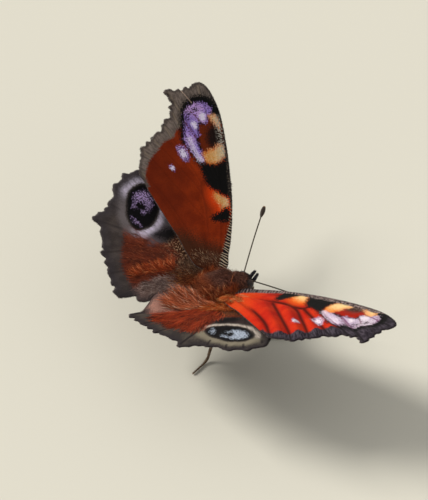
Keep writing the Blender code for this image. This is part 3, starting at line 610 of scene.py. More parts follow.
def wing(plan, marks, spots, finishes):
    """A thin membrane over the wing's outline, with its markings kept as named numbers on its points."""
    plan["edge"] = toothed(plan, smooth_line(plan["outline"], OUTLINE_STEP / 2, closed=True))
    edge = plan["edge"]
    low = edge.min(axis=0)
    size = edge.max(axis=0) - low
    shape = bmesh.new()
    columns, rows = (int(n / WING_CELL) for n in size)
    bmesh.ops.create_grid(shape, x_segments=columns, y_segments=rows, size=0.5)
    flat = np.array([v.co.xy for v in shape.verts]) * size + low + size / 2
    depth = depth_inside(flat, edge)
    for vert, point in zip(shape.verts, flat):
        vert.co = (point[0], point[1], 0.0)
    outside = [v for v, d in zip(shape.verts, depth) if d < -CELL_OVERLAP * WING_CELL]
    bmesh.ops.delete(shape, geom=outside, context="VERTS")
    bmesh.ops.delete(shape, geom=[v for v in shape.verts if len(v.link_faces) < 2], context="VERTS")
    border = [v for v in shape.verts if v.is_boundary]
    where = np.array([v.co.xy for v in border])
    ring = np.vstack([edge, edge[:1]])
    fine = np.vstack([a + (b - a) * t for a, b in zip(ring, ring[1:]) for t in (0, 0.5)])
    for vert, point in zip(border, where):
        nearest = fine[np.argmin(((fine - point) ** 2).sum(axis=1))]
        vert.co = (nearest[0], nearest[1], 0.0)
    if plan["side"] < 0:
        bmesh.ops.reverse_faces(shape, faces=shape.faces[:])
    mesh = bpy.data.meshes.new(plan["name"])
    shape.to_mesh(mesh)
    shape.free()
    flat = read_points(mesh)[:, :2]
    relief, vein, depth = wing_relief(plan, flat)
    mesh.vertices.foreach_set("co", wing_point(plan, flat, relief).ravel())
    keep_flat(mesh, "plan", flat)
    keep_number(mesh, "vein", vein)
    keep_number(mesh, "edge", depth)
    for name, outline in marks.items():
        keep_number(mesh, name, depth_inside(flat, smooth_line(outline, OUTLINE_STEP, closed=True)))
    for name, discs in spots.items():
        depths = [r - np.linalg.norm(flat - (x, y), axis=1) for x, y, r in discs]
        keep_number(mesh, name, np.max(depths, axis=0))
    mesh.shade_smooth()
    piece = add_piece(side_name(plan["name"] + "_scales", plan["side"]), mesh, finishes)
    wall = piece.modifiers.new("membrane", "SOLIDIFY")
    wall.thickness = WING_THICKNESS * MM
    wall.offset = 0.0
    wall.material_offset = 1
    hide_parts(side_name(plan["name"], plan["side"]))
    return piece


def keep_number(mesh, name, values):
    mesh.attributes.new(name, "FLOAT", "POINT").data.foreach_set("value", np.asarray(values, np.float32))


def keep_flat(mesh, name, flat):
    """Keeps a pair of numbers on each point, as a vector whose third number is zero."""
    values = np.column_stack([flat, np.zeros(len(flat))]).astype(np.float32)
    mesh.attributes.new(name, "FLOAT_VECTOR", "POINT").data.foreach_set("vector", values.ravel())


def read_points(mesh):
    points = np.zeros(len(mesh.vertices) * 3, np.float32)
    mesh.vertices.foreach_get("co", points)
    return points.reshape(-1, 3).astype(float)


def side_name(part, side):
    return part + ("_left" if side > 0 else "_right")


def add_object(name, data):
    thing = bpy.data.objects.new(name, data)
    bpy.context.scene.collection.objects.link(thing)
    return thing


def add_piece(name, mesh, finishes):
    """A piece of the model, which rides on its one body."""
    mesh.name = name
    for finish in finishes:
        mesh.materials.append(finish)
    piece = add_object(name, mesh)
    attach(piece, "root")
    return piece


# the wings' finishes

def forewing_upper(side):
    """Rust ground, slate margin, black patches and the eyespot at the tip."""
    look = FOREWING_TONES[side]
    paint = Finish(side_name("forewing_upper_scales", side), 0.8, 0.1)
    plan = paint.direction("plan")
    front = paint.direction("front")
    outward = paint.direction("fan")
    axes = paint.step("ShaderNodeSeparateXYZ", {0: front}).node.outputs
    along = axes["X"]
    behind = axes["Y"]
    rough = paint.jitter(plan)
    half_rough = paint.times(rough, 0.5)
    grain = paint.scale_grain(plan)
    broad = paint.fade(paint.noise(plan, 0.35, 3.0), 0.35, 0.65)
    combed = paint.noise(paint.stretched(outward, (0.22, 1.0, 1.0)), 5.0, 0.0)
    comb = paint.plus(half_rough, paint.times(paint.maths("SUBTRACT", combed, 0.5), 1.1))
    paint.colour = paint.blend(*look["ground"], broad)

    # the ground, darker along the veins and behind, and its glow at the root and beside the patches
    # on the right the broad dark band along each vein is painted shade in the valleys beside the veins
    vein = paint.mark("vein", look["vein_width"], 0.0)
    paint.cover(look["vein"], vein, paint.fade(along, 4.0, 9.0), look["vein_share"])
    # painted shade toward the rear edge, on the left forewing only
    paint.cover(tone(84, 24, 4), paint.fade(behind, 2.5, 7.5), look["rear_shade"])
    paint.cover(look["root"], paint.mark("root", -2.4, 0.4, paint.times(rough, 2.0)), 0.85)
    paint.cover(look["glow"], paint.mark("cream_middle", -1.9, -0.1), 0.85)

    # the slate margin, in fine rows that fan out and are crossed by rays
    paint.cover(tone(16, 13, 14), paint.mark("eyespot", -1.1, -0.5), paint.fade(along, 21.5, 23.0))
    slate = paint.blend(*look["margin"], paint.fade(paint.plus(combed, paint.times(rough, 0.3)), 0.34, 0.66))
    slate = paint.mix(slate, look["rays"], paint.mark("vein", 0.2, 0.05), look["margin_rays"])
    slate = paint.mix(slate, tone(34, 29, 32), paint.mark("edge", 0.5, 0.1), 0.6)
    paint.cover(slate, paint.rest_of(paint.ragged("ground", half_rough, 0.14)))

    # the eyespot's black rim and its core, with a dark side
    black = tone(12, 11, 11)
    paint.cover(black, paint.mark("eyespot", look["rim_fade"], 0.12, rough))
    paint.cover(look["core"], paint.ragged("core", rough, 0.12))
    shade = paint.blend(black, look["core_shade"], paint.fade(paint.noise(plan, 5.5, 0.0), 0.5, 0.56))
    paint.cover(shade, paint.ragged("core_shade", rough, 0.7, look["shade_grown"]), 0.95)

    # its violet outer part, dotted more toward its edge, lined and cut by the veins
    dots = paint.plus(paint.noise(plan, 5.0, 0.0), paint.times(paint.mark("violet", 0.7, 0.0), 0.12))
    dots = paint.fade(dots, look["dot_level"], look["dot_level"] + 0.05)
    violet = paint.mix(paint.blend(*look["violet"], broad), look["violet_dots"], dots, 0.85)
    violet = paint.mix(violet, tone(86, 22, 16), paint.mark("rays", -0.15, -0.05, half_rough), 0.9)
    violet = paint.mix(violet, look["violet_dots"], paint.mark("vein", 0.2, 0.06), look["margin_rays"])
    paint.cover(violet, paint.ragged("violet", comb, 0.12))
    paint.cover(tone(34, 14, 26), paint.ragged("specks", rough, 0.12))

    # the cream and black patches, and the pale spots
    pale = paint.plus(paint.fade(behind, look["pale_from"], look["pale_to"]), paint.times(rough, 1.2))
    cream = paint.blend(look["cream"], look["pale_cream"], pale)
    for name in ("cream_outer", "cream_inner", "cream_middle"):
        patch = paint.mix(cream, look["glow"], paint.mark(name, 0.6, 0.0, half_rough), 0.4)
        paint.cover(patch, paint.ragged(name, comb, 0.3, look["grown"]))
    paint.cover(black, paint.ragged("patch_outer", rough, 0.16))
    paint.cover(black, paint.ragged("patch_inner", rough, 0.16, look["grown"]))
    paint.cover(violet, paint.ragged("spot_near", half_rough, 0.14))
    paint.cover(violet, paint.ragged("spot_far", half_rough, 0.14, look["grown"] / 2))
    paint.cover(look["white"], paint.mark("whites", -0.22, 0.16, half_rough))
    paint.cover(look["white"], paint.mark("streak", -0.2, 0.3, rough), look["streak"])
    paint.cover(look["fold"], paint.mark("fold", -0.11, -0.03), 0.8)

    # pale speckle between the core and the front edge
    reach = (paint.fade(behind, -0.9, -1.9), paint.fade(along, 16.8, 18.2), paint.fade(along, 24.4, 23.2))
    frost = paint.fade(paint.noise(plan, 4.0, 0.0), 0.46, 0.54)
    paint.cover(tone(176, 170, 158), frost, *reach, look["frost"])

    # the front edge, barred near the root and flecked further out
    bars = paint.waves(paint.stretched(front, (1.0, 0.5, 1.0), -0.6), 0.74, 4.4, 1.0, 1.6)
    flecks = paint.noise(paint.stretched(front, look["fleck_form"]), 4.6, 0.0)
    far = paint.fade(along, 8.5, 11.0)
    bars = paint.plus(paint.times(paint.fade(bars, 0.68, 0.92), paint.rest_of(far)),
                      paint.times(paint.fade(flecks, 0.5, 0.58), far, look["far_bars"]))
    dimmed = paint.rest_of(paint.times(paint.fade(along, 4.5, 2.0), look["root_dim"]))
    strip = paint.mix(tone(27, 22, 26), look["bars"], bars, dimmed)
    widened = paint.plus(half_rough, paint.times(far, look["strip_far"]))
    paint.cover(strip, paint.ragged("costal_strip", widened, 0.14, look["strip"]))
    paint.cover(GRAIN_SHADE, paint.rest_of(grain), 0.4, how="MULTIPLY")
    return paint.done(paint.colour, grain, strength=0.6)


def hindwing_upper(side):
    """Grey margin, rust disc and the black oval eyespot inside its pale ring."""
    look = HINDWING_TONES[side]
    paint = Finish(side_name("hindwing_upper_scales", side), 0.82, 0.1)
    plan = paint.direction("plan")
    rough = paint.jitter(plan)
    grain = paint.scale_grain(plan)
    broad = paint.fade(paint.noise(plan, 0.5, 3.0), 0.35, 0.65)
    combed = paint.noise(paint.stretched(paint.direction("fan"), (0.2, 1.0, 1.0)), 3.6, 1.0)
    streaks = paint.fade(combed, 0.4, 0.64)
    paint.colour = paint.blend(*look["ground"], broad)

    # the margin and the disc, both streaked outward, the golden dots of the root and the fold
    paint.cover(tone(34, 28, 28), paint.mark("vein", 0.2, 0.04), look["veins"])
    paint.cover(look["edge"], streaks, 0.35)
    rust = paint.mix(paint.blend(*look["disc"], broad), tone(52, 22, 15), streaks, 0.6)
    paint.cover(rust, paint.ragged("disc", rough, 0.35))
    dots = paint.blend(tone(60, 43, 31), look["root"], paint.fade(paint.noise(plan, 4.2, 0.0), 0.53, 0.6))
    paint.cover(dots, paint.ragged("root", rough, 1.2), 0.85)
    paint.cover(look["fold"], paint.ragged("fold", rough, 0.7), 0.85)

    # the pale ring round the eyespot, broad outside it and bright toward the root, and the dusk beyond
    wavy = paint.plus(paint.number("oval"), paint.jitter(plan, 0.22, 0.05))
    toward_root = paint.number("oval_side")
    band = paint.times(paint.fade(wavy, -2.3, -1.0), paint.fade(wavy, -0.25, -0.6))
    paint.cover(look["band"], band, paint.fade(toward_root, 1.0, -0.5), 0.85)
    bright = paint.times(paint.fade(wavy, look["bright_reach"], -0.75), paint.fade(wavy, -0.25, -0.65))
    inward = paint.fade(toward_root, look["bright_from"], 0.9)
    paint.cover(look["bright_band"], bright, inward, paint.fade(combed, 1.05, 0.25))
    beyond = paint.times(paint.fade(wavy, -1.2, -1.9), paint.fade(wavy, -3.6, -2.4))
    paint.cover(look["beyond"], beyond, paint.fade(toward_root, 1.2, 2.4), 0.75)
    paint.cover(look["edge"], paint.mark("edge", look["edge_width"], 0.1, paint.times(rough, 0.6)), 0.85)
    crossing = paint.times(paint.mark("vein", 0.26, 0.06), paint.fade(wavy, -0.9, -1.3))
    outside = paint.rest_of(paint.fade(toward_root, -0.4, 0.6))
    paint.cover(tone(34, 28, 30), crossing, outside, look["veins"])

    # the black blotch and the eyespot, with its dotted violet
    black = tone(11, 10, 12)
    paint.cover(black, paint.ragged("blotch", rough, 0.6), 0.92)
    paint.cover(black, paint.fade(wavy, -0.5, 0.1))
    for name in ("violet", "streak"):
        rise = paint.times(paint.mark(name, 1.0, 0.0), look["dot_rise"])
        dots = paint.fade(paint.plus(paint.noise(plan, 5.0, 0.0), rise), 0.53, 0.57)
        patch = paint.mix(look["violet"], tone(34, 26, 44), dots, look["dots"])
        paint.cover(patch, paint.ragged(name, rough, 0.16))
    paint.cover(look["violet"], paint.ragged("whites", rough, 0.1))
    paint.cover(GRAIN_SHADE, paint.rest_of(grain), 0.4, how="MULTIPLY")
    return paint.done(paint.colour, grain, strength=0.6)


def wing_under():
    """The dark underside, with its fine wavy lines across the wing."""
    paint = Finish("wing_under_scales", 0.85, 0.08)
    plan = paint.direction("plan")
    lines = paint.waves(paint.stretched(plan, (1.0, 1.0, 1.0), 0.35), 0.9, 7.0, 3.0, 1.4)
    paint.colour = paint.blend(tone(22, 17, 17), tone(62, 50, 44), paint.fade(lines, 0.25, 0.8))
    paint.cover(tone(30, 22, 22), paint.fade(paint.noise(plan, 0.25, 2.0), 0.4, 0.6), 0.6)
    paint.cover(tone(74, 62, 56), paint.mark("edge", 2.2, 1.2), 0.6)
    paint.cover(tone(90, 74, 60), paint.mark("vein", 0.2, 0.05), 0.4)
    return paint.done(paint.colour, paint.scale_grain(plan), strength=0.5)


def trimmed_eyespot(marks, side):
    """The hindwing's marks, with the eyespot as long as it shows on this side."""
    kept = dict(marks)
    for name in ("oval", "violet", "streak"):
        reach = (marks[name] - OVAL_CENTRE) @ OVAL_ALONG + OVAL_REACH
        kept[name] = marks[name] - np.outer(reach * OVAL_TRIM[side], OVAL_ALONG)
    return kept


def all_wings():
    """The four wings, each with its markings, and the plans they were made from."""
    plans = []
    fore_marks = {name: forewing_flat(points) for name, points in FOREWING_MARKS.items()}
    hind_marks = {name: np.array(points, float) for name, points in HINDWING_MARKS.items()}
    for side in SIDES:
        plan = forewing_plan(side)
        spots = {"whites": discs_flat(FOREWING_WHITES), "specks": discs_flat(FOREWING_SPECKS)}
        piece = wing(plan, fore_marks, spots, [forewing_upper(side), wing_under()])
        flat = read_plan(piece.data)
        keep_flat(piece.data, "front", forewing_frame(flat))
        keep_fan(piece.data, forewing_frame(flat), FOREWING_FAN)
        rays = np.min([distance_to_line(flat, forewing_flat(ray)) for ray in FOREWING_RAYS], axis=0)
        keep_number(piece.data, "rays", -rays)
        keep_number(piece.data, "fold", -distance_to_line(flat, forewing_flat(FOREWING_FOLD)))
        plans.append(plan)
        plan = hindwing_plan(side)
        marks = trimmed_eyespot(hind_marks, side)
        piece = wing(plan, marks, {"whites": HINDWING_WHITES}, [hindwing_upper(side), wing_under()])
        keep_fan(piece.data, read_plan(piece.data), HINDWING_FAN)
        away = read_plan(piece.data) - OVAL_CENTRE
        outer_end = away @ np.array(OVAL_ALONG) - OVAL_END[side]
        keep_number(piece.data, "oval_side", np.maximum(away @ np.array(OVAL_ACROSS), outer_end))
        plans.append(plan)
    return plans


def keep_fan(mesh, flat, centre):
    """Keeps how far each point lies from a centre, and how far round it, for patterns that fan out."""
    away = flat - centre
    turn = np.arctan2(away[:, 1], away[:, 0])
    keep_flat(mesh, "fan", np.column_stack([np.linalg.norm(away, axis=1), turn * FAN_SCALE]))


def read_plan(mesh):
    flat = np.zeros(len(mesh.vertices) * 3, np.float32)
    mesh.attributes["plan"].data.foreach_get("vector", flat)
    return flat.reshape(-1, 3)[:, :2].astype(float)


def discs_flat(discs):
    return [(*forewing_flat([(along, behind)])[0], radius) for along, behind, radius in discs]


# limbs and the body's skin

def frames_along(line):
    """The direction, and two directions across, at each point of a line, turning as little as they can."""
    ahead = unit(np.gradient(line, axis=0))
    across = np.cross(ahead[0], (0.0, 0.0, 1.0))
    if np.linalg.norm(across) < 0.1:
        across = np.cross(ahead[0], (0.0, 1.0, 0.0))
    sides = []
    for direction in ahead:
        across = across - direction * (across @ direction)
        across = across / np.linalg.norm(across)
        sides.append(across)
    sides = np.array(sides)
    return ahead, sides, np.cross(sides, ahead)


def closed_mesh(shape, name):
    """A smooth mesh of a closed shape, with its faces turned out."""
    bmesh.ops.recalc_face_normals(shape, faces=shape.faces[:])
    mesh = bpy.data.meshes.new(name)
    shape.to_mesh(mesh)
    shape.free()
    mesh.shade_smooth()
    return mesh


def limb(name, line, radii, around, finish, side=1):
    """A round limb along a line, closed at both ends."""
    across, upward = frames_along(line)[1:]
    steps = len(line)
    shape = bmesh.new()
    bmesh.ops.create_uvsphere(shape, u_segments=around, v_segments=steps + 1, radius=1.0)
    for vert in shape.verts:
        ring = math.acos(max(-1.0, min(1.0, vert.co.z))) / math.pi * (steps + 1)
        index = min(max(round(ring) - 1, 0), steps - 1)
        girth = radii[index] if 0.5 < ring < steps + 0.5 else 0.0
        turn = math.atan2(vert.co.y, vert.co.x)
        offset = across[index] * math.cos(turn) * girth + upward[index] * math.sin(turn) * girth
        vert.co = Vector(place(line[index] + offset, side)[0])
    return add_piece(name, closed_mesh(shape, name), [finish])


def body_profile(along):
    """Half width, half height and middle height of the body at places along it."""
    width, height, middle = (np.interp(along, BODY_LINE[:, 0], BODY_LINE[:, i]) for i in (1, 2, 3))
    groove = SEGMENT_DEPTH * np.abs(np.sin(along / SEGMENT_LENGTH * math.pi)) ** SEGMENT_SHARPNESS
    ring = np.where(along < SEGMENT_START, 1 - groove, 1.0)
    return width * ring, height * ring, middle


def skin_point(along, turn):
    width, height, middle = body_profile(along)
    return np.stack([along, width * np.sin(turn), middle + height * np.cos(turn)], axis=-1)


def skin():
    """One skin for the head, the thorax and the abdomen."""
    shape = bmesh.new()
    bmesh.ops.create_uvsphere(shape, u_segments=SKIN_AROUND, v_segments=SKIN_ALONG, radius=1.0)
    front, back = BODY_STATIONS[0][0], BODY_STATIONS[-1][0]
    for vert in shape.verts:
        share = math.acos(max(-1.0, min(1.0, vert.co.z))) / math.pi
        eased = share + END_CROWDING * math.sin(2 * math.pi * share) / math.pi * -1
        along = front + (back - front) * min(max(eased, 0.0), 1.0)
        turn = math.atan2(vert.co.y, vert.co.x)
        vert.co = Vector(place(skin_point(np.array(along), np.array(turn)))[0])
    piece = add_piece("body_skin", closed_mesh(shape, "skin"), [body_finish("body_skin_scales", False)])
    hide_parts("head", "thorax", "abdomen")


# the body's colours, each as a dark and a light one
BACK = (tone(66, 41, 34), tone(178, 122, 102))
GLINT = tone(196, 134, 104)
RUSTY = (tone(104, 45, 24), tone(234, 128, 68))
SLATE = (tone(30, 28, 34), tone(82, 74, 78))
BELLY = (tone(40, 28, 26), tone(112, 84, 72))
UNDERSIDE = (tone(26, 20, 20), tone(76, 60, 54))
# where they give way, in metres along the model, out from its middle and up
RUSTY_ACROSS = (0.0014, 0.0024)
RUSTY_ABOVE = (0.0055, 0.0078)
RUSTY_BEHIND = (0.0, -0.0018)
SLATE_FROM = (0.0048, 0.0056)
BELLY_FROM = (-0.0022, -0.0042)
UNDERSIDE_BELOW = (0.0066, 0.0052)


def body_finish(name, hairy):
    """Dark brown on the back, rusty toward the wing roots, slate on the head, grey-brown on the abdomen."""
    paint = Finish(name, 0.65, 0.2)
    where = paint.step("ShaderNodeSeparateXYZ", {0: paint.object_place()}).node.outputs
    along = where["X"]
    across = paint.maths("ABSOLUTE", paint.maths("SUBTRACT", where["Y"], float(BODY_ORIGIN[1]) * MM))
    height = where["Z"]
    strand = paint.number("strand") if hairy else paint.noise(paint.millimetres(), 3.0, 3.0)
    tint = paint.times(strand, strand)
    back = paint.mix(paint.blend(*BACK, tint), GLINT, paint.fade(strand, 0.9, 0.95), 0.6)
    sides = paint.times(paint.fade(across, *RUSTY_ACROSS), paint.fade(height, *RUSTY_ABOVE))
    rear = paint.times(paint.fade(along, *RUSTY_BEHIND), 0.75)
    paint.colour = paint.blend(back, paint.blend(*RUSTY, tint), paint.maths("MAXIMUM", sides, rear))
    paint.cover(paint.blend(*SLATE, tint), paint.fade(along, *SLATE_FROM))
    paint.cover(paint.blend(*BELLY, tint), paint.fade(along, *BELLY_FROM))
    paint.cover(paint.blend(*UNDERSIDE, tint), paint.fade(height, *UNDERSIDE_BELOW))
    if not hairy:
        return paint.done(paint.colour, paint.noise(paint.millimetres(), 9.0, 2.0))
    # painted shade toward each hair's root, inside the coat
    paint.cover((0.35, 0.35, 0.35), paint.mark("reach", 0.5, 0.0), 0.7, how="MULTIPLY")
    return paint.done(paint.colour)


# coats

# a tuft's places along its length, each with its share of the full width
TUFT_STATIONS = ((0.0, 0.8), (0.35, 1.0), (0.72, 0.66))
# how tufts differ in bend, how far each bends back to the lie, how deep it is rooted and how thick it is
BEND_SPREAD = 0.35
BEND_SHARE = 0.4
BEND_BACK = 0.45
ROOT_SINK = 0.06
TUFT_THICKNESS = 0.45
# how large each tuft lies in the unfolded map, and how far the map keeps from its border
PATCH_SIZE = 0.003
MAP_BORDER = 0.01
# how far neighbouring strands share one tone, which strands keep their own, and the streaks round a centre
STREAK_SHARE = 0.4
GLINT_FROM = 0.88
STREAK_COUNTS = (37.0, 61.0)


def varied(rng, value, low, high, count):
    """A value for each tuft, times a random number between the two given."""
    return value * rng.uniform(low, high, count)


def inset(share):
    """A share of the unfolded map, kept off the map's border."""
    return share * (1 - 2 * MAP_BORDER) + MAP_BORDER


def coat(name, lay, form, patch, finish, rng, drift, streak=None):
    """Many thin, tapered tufts as one mesh, each leaving its root along the lie and bending back to it."""
    roots, along, outward = lay
    length, width, lift = form
    count = len(roots)
    across = unit(np.cross(along, outward))
    sway = rng.normal(0.0, drift, count)[:, None] * across
    bend = rng.normal(0.0, BEND_SPREAD, count)[:, None]
    points = []
    reach = []
    corners = []
    for share, girth in TUFT_STATIONS + ((1.0, 0.0),):
        rise = lift[:, None] * (share - BEND_BACK * share ** 2) * (1 + bend * BEND_SHARE)
        rise = rise - ROOT_SINK * (share == 0.0)
        middle = roots + length[:, None] * (along * share + sway * share ** 2) + outward * rise
        half = across * (width * girth / 2)[:, None]
        thick = outward * (width * girth * TUFT_THICKNESS)[:, None]
        ring = (middle - half, middle + half, middle + thick) if girth else (middle,)
        for i, corner in enumerate(ring):
            points.append(corner)
            reach.append(share)
            corners.append((share - 0.5, (i - 1) * 0.5))
    per = len(points)
    points = np.stack(points, axis=1).reshape(-1, 3)
    faces = [(2, 1, 0)]
    for low in (0, 3):
        faces += [(low + i, low + (i + 1) % 3, low + 3 + (i + 1) % 3, low + 3 + i) for i in range(3)]
    faces += [(6 + i, 6 + (i + 1) % 3, 9) for i in range(3)]
    mesh = bpy.data.meshes.new(name)
    base = np.arange(count) * per
    mesh.from_pydata(place(points), [], [tuple(int(b + i) for i in face) for b in base for face in faces])
    strand = rng.random(count)
    if streak is not None:
        strand = np.where(strand > GLINT_FROM, strand, strand * (1 - STREAK_SHARE) + streak * STREAK_SHARE)
    keep_number(mesh, "strand", np.repeat(strand, per))
    keep_number(mesh, "reach", np.tile(reach, count))
    layer = mesh.uv_layers.new(name="OFBake")
    centre = np.repeat(patch, per, axis=0)
    spread = np.tile(np.array(corners) * PATCH_SIZE, (count, 1))
    index = np.zeros(len(mesh.loops), np.int32)
    mesh.loops.foreach_get("vertex_index", index)
    layer.data.foreach_set("uv", (centre + spread)[index].astype(np.float32).ravel())
    piece = add_piece(name, mesh, [finish])


def body_coat(name, count, span, form, finish, seed, lie, turn_range=(-math.pi, math.pi)):
    """A coat over a length of the body, its roots spread evenly by the skin's own girth."""
    length, width, lift, spread = form
    rng = np.random.default_rng(seed)
    stations = np.linspace(*span, COAT_STATIONS)
    girth = body_profile(stations)[0]
    share = np.cumsum(girth) / girth.sum()
    along_body = np.interp(rng.random(count), share, stations)
    turn = rng.uniform(*turn_range, count)
    roots = skin_point(along_body, turn)
    forward = skin_point(along_body + SKIN_STEP, turn) - roots
    sideways = skin_point(along_body, turn + SKIN_STEP) - roots
    outward = unit(np.cross(forward, sideways))
    centre = np.stack([along_body, np.zeros(count), body_profile(along_body)[2]], axis=1)
    outward *= np.sign(((roots - centre) * outward).sum(axis=1))[:, None]
    flow = np.asarray(lie, float) + rng.normal(0, spread, (count, 3))
    flow = unit(flow - outward * (flow * outward).sum(axis=1)[:, None])
    front, back = BODY_STATIONS[0][0], BODY_STATIONS[-1][0]
    patch = np.stack([(turn + math.pi) / (2 * math.pi), (front - along_body) / (front - back)], axis=1)
    form = [varied(rng, *row, count) for row in ((length, 0.7, 1.2), (width, 0.7, 1.3), (lift, 0.5, 1.3))]
    coat(name, (roots, flow, outward), form, inset(patch), finish, rng, BODY_DRIFT)


# the steps in which a coat's span is measured, and the step that finds the skin's slope
COAT_STATIONS = 200
SKIN_STEP = 0.001
BODY_DRIFT = 0.3
# each body coat: its name, count, span along the body, length, width, lift, direction and spread
BODY_COATS = [
    ("collar_fur", 5600, (0.75, -1.1), 1.1, 0.055, 1.0, (-0.75, 0.0, 0.3), 0.25),
    ("thorax_fur_front", 11000, (-0.5, -3.2), 1.6, 0.062, 0.75, (-0.9, 0.0, 0.1), 0.24),
    ("thorax_fur_rear", 11000, (-2.8, -6.4), 2.3, 0.062, 0.95, (-1.0, 0.0, 0.15), 0.26),
    ("abdomen_fur_front", 8500, (-6.0, -10.8), 1.5, 0.06, 0.45, (-1.0, 0.0, 0.0), 0.25),
    ("abdomen_fur_rear", 7000, (-10.8, -15.3), 1.1, 0.06, 0.3, (-1.0, 0.0, 0.0), 0.22),
    ("head_fur", 4400, (1.77, 0.4), 0.5, 0.04, 0.22, (-0.6, 0.0, 0.5), 0.3)]
# where the long hair beside the wing roots grows, along the body and round it
SHOULDER_SPAN = (-1.6, -6.4)
SHOULDER_TURN = (1.05, 1.8)
SHOULDER_COUNT = 2800
SHOULDER_FORM = (2.3, 0.07, 1.2, 0.4)


def all_fur():
    """The coats of the body, and the long hair beside the wing roots."""
    finish = body_finish("body_hair", True)
    for i, (name, count, span, length, width, lift, lie, spread) in enumerate(BODY_COATS):
        body_coat(name, count, span, (length, width, lift, spread), finish, SEED + i, lie)
    rust = strand_finish("shoulder_hair", tone(70, 36, 22), tone(200, 112, 64), tone(236, 182, 128))
    for side in SIDES:
        turns = sorted(side * turn for turn in SHOULDER_TURN)
        body_coat(side_name("shoulder_hair", side), SHOULDER_COUNT, SHOULDER_SPAN, SHOULDER_FORM, rust,
                  SEED + 9, (-0.8, 0.75 * side, 0.35), turns)


# the head's small parts and the legs

def eyes():
    paint = Finish("compound_eye", 0.34, 0.4)
    facets = paint.step("ShaderNodeTexVoronoi", {"Vector": paint.millimetres(), "Scale": 22.0}, "Distance")
    cloud = paint.fade(paint.noise(paint.millimetres(), 2.0, 2.0), 0.35, 0.65)
    colour = paint.blend(tone(24, 16, 14), tone(60, 38, 30), cloud)
    finish = paint.done(colour, facets, FACET_BUMP, 0.9)
    for side in SIDES:
        shape = bmesh.new()
        bmesh.ops.create_uvsphere(shape, u_segments=EYE_MESH[0], v_segments=EYE_MESH[1], radius=1.0)
        for vert in shape.verts:
            vert.co = Vector(place(np.array(vert.co) * EYE_RADII + EYE_CENTRE, side)[0])
        piece = add_piece(side_name("compound_eye", side), closed_mesh(shape, "eye"), [finish])
        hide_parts(side_name("eye", side))


def antennae():
    paint = Finish("antenna_scales", 0.5, 0.3)
    share = paint.number("share")
    band = paint.fade(paint.maths("FRACT", paint.times(share, float(ANTENNA_RINGS))), 0.62, 0.78)
    stalk = paint.mix(tone(34, 28, 22), tone(120, 108, 88), band, 0.55)
    club = paint.blend(tone(44, 30, 20), tone(150, 112, 60), paint.fade(share, 0.965, 1.0))
    finish = paint.done(paint.blend(stalk, club, paint.fade(share, 0.82, 0.86)))
    t = np.linspace(0, 1, ANTENNA_RINGS * 4 + 1)
    for side in SIDES:
        line = np.array(ANTENNA_ROOT) + t[:, None] * np.array(ANTENNA_REACH[side])
        line[:, 2] += ANTENNA_BOW[side] * np.sin(math.pi * t)
        club_share = np.clip((t - 1 + CLUB_SHARE) / CLUB_SHARE, 0, 1)
        swell = np.sin(math.pi * np.minimum(1.0, club_share * CLUB_CLOSING)) ** CLUB_BLUNTNESS
        kept = 1 - ease_in(club_share, *RING_END)
        ring = 1 + RING_SWELL * kept * np.cos(2 * math.pi * t * ANTENNA_RINGS)
        radii = (ANTENNA_RADIUS + (CLUB_RADIUS - ANTENNA_RADIUS) * swell) * ring
        radii[-1] *= 0.5
        piece = limb(side_name("ringed_antenna", side), line, radii, LIMB_SIDES["antenna"], finish, side)
        keep_number(piece.data, "share", nearest_share(piece.data, place(line, side)))
        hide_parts(side_name("antenna", side))


def nearest_share(mesh, line):
    nearest = [np.argmin(((line - p) ** 2).sum(axis=1)) for p in read_points(mesh)]
    return np.array(nearest) / (len(line) - 1)


def plain_dark(name, dark, light):
    paint = Finish(name, 0.6, 0.25)
    grain = paint.noise(paint.millimetres(), 4.0, 3.0)
    return paint.done(paint.blend(dark, light, paint.fade(grain, 0.35, 0.65)), grain)


def palps_and_tongue():
    dark = plain_dark("palp_scales", tone(20, 19, 24), tone(52, 50, 58))
    hair = strand_finish("palp_hair", tone(18, 17, 22), tone(56, 54, 64))
    for side in SIDES:
        line = smooth_line(PALP_PATH, PALP_STEP)
        radii = np.interp(np.linspace(0, 1, len(line)), np.linspace(0, 1, len(PALP_RADII)), PALP_RADII)
        radii[[0, -1]] *= PALP_ENDS
        piece = limb(side_name("scaled_palp", side), line, radii, LIMB_SIDES["palp"], dark, side)
        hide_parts(side_name("palp", side))
        hair_on_line(side_name("palp_hair", side), line[:-2], radii[:-2], 900, PALP_HAIR, hair, side,
                     SEED + 20)
    t = np.linspace(0, 1, TONGUE_STEPS)
    turn = math.radians(TONGUE_START) + 2 * math.pi * TONGUE_TURNS * (1 - t)
    reach = TONGUE_RADII[1] + (TONGUE_RADII[0] - TONGUE_RADII[1]) * t
    line = np.stack([TONGUE_CENTRE[0] + reach * np.cos(turn), np.zeros(len(t)),
                     TONGUE_CENTRE[2] + reach * np.sin(turn)], axis=1)
    ring = 1 + TONGUE_RING_DEPTH * np.cos(t * 2 * math.pi * TONGUE_RINGS)
    radii = TONGUE_THICKNESS * (1 - TONGUE_TAPER * t) * ring
    finish = plain_dark("tongue_skin", tone(30, 22, 18), tone(70, 50, 36))
    piece = limb("coiled_tongue", line, radii, LIMB_SIDES["tongue"], finish)
    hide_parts("tongue")


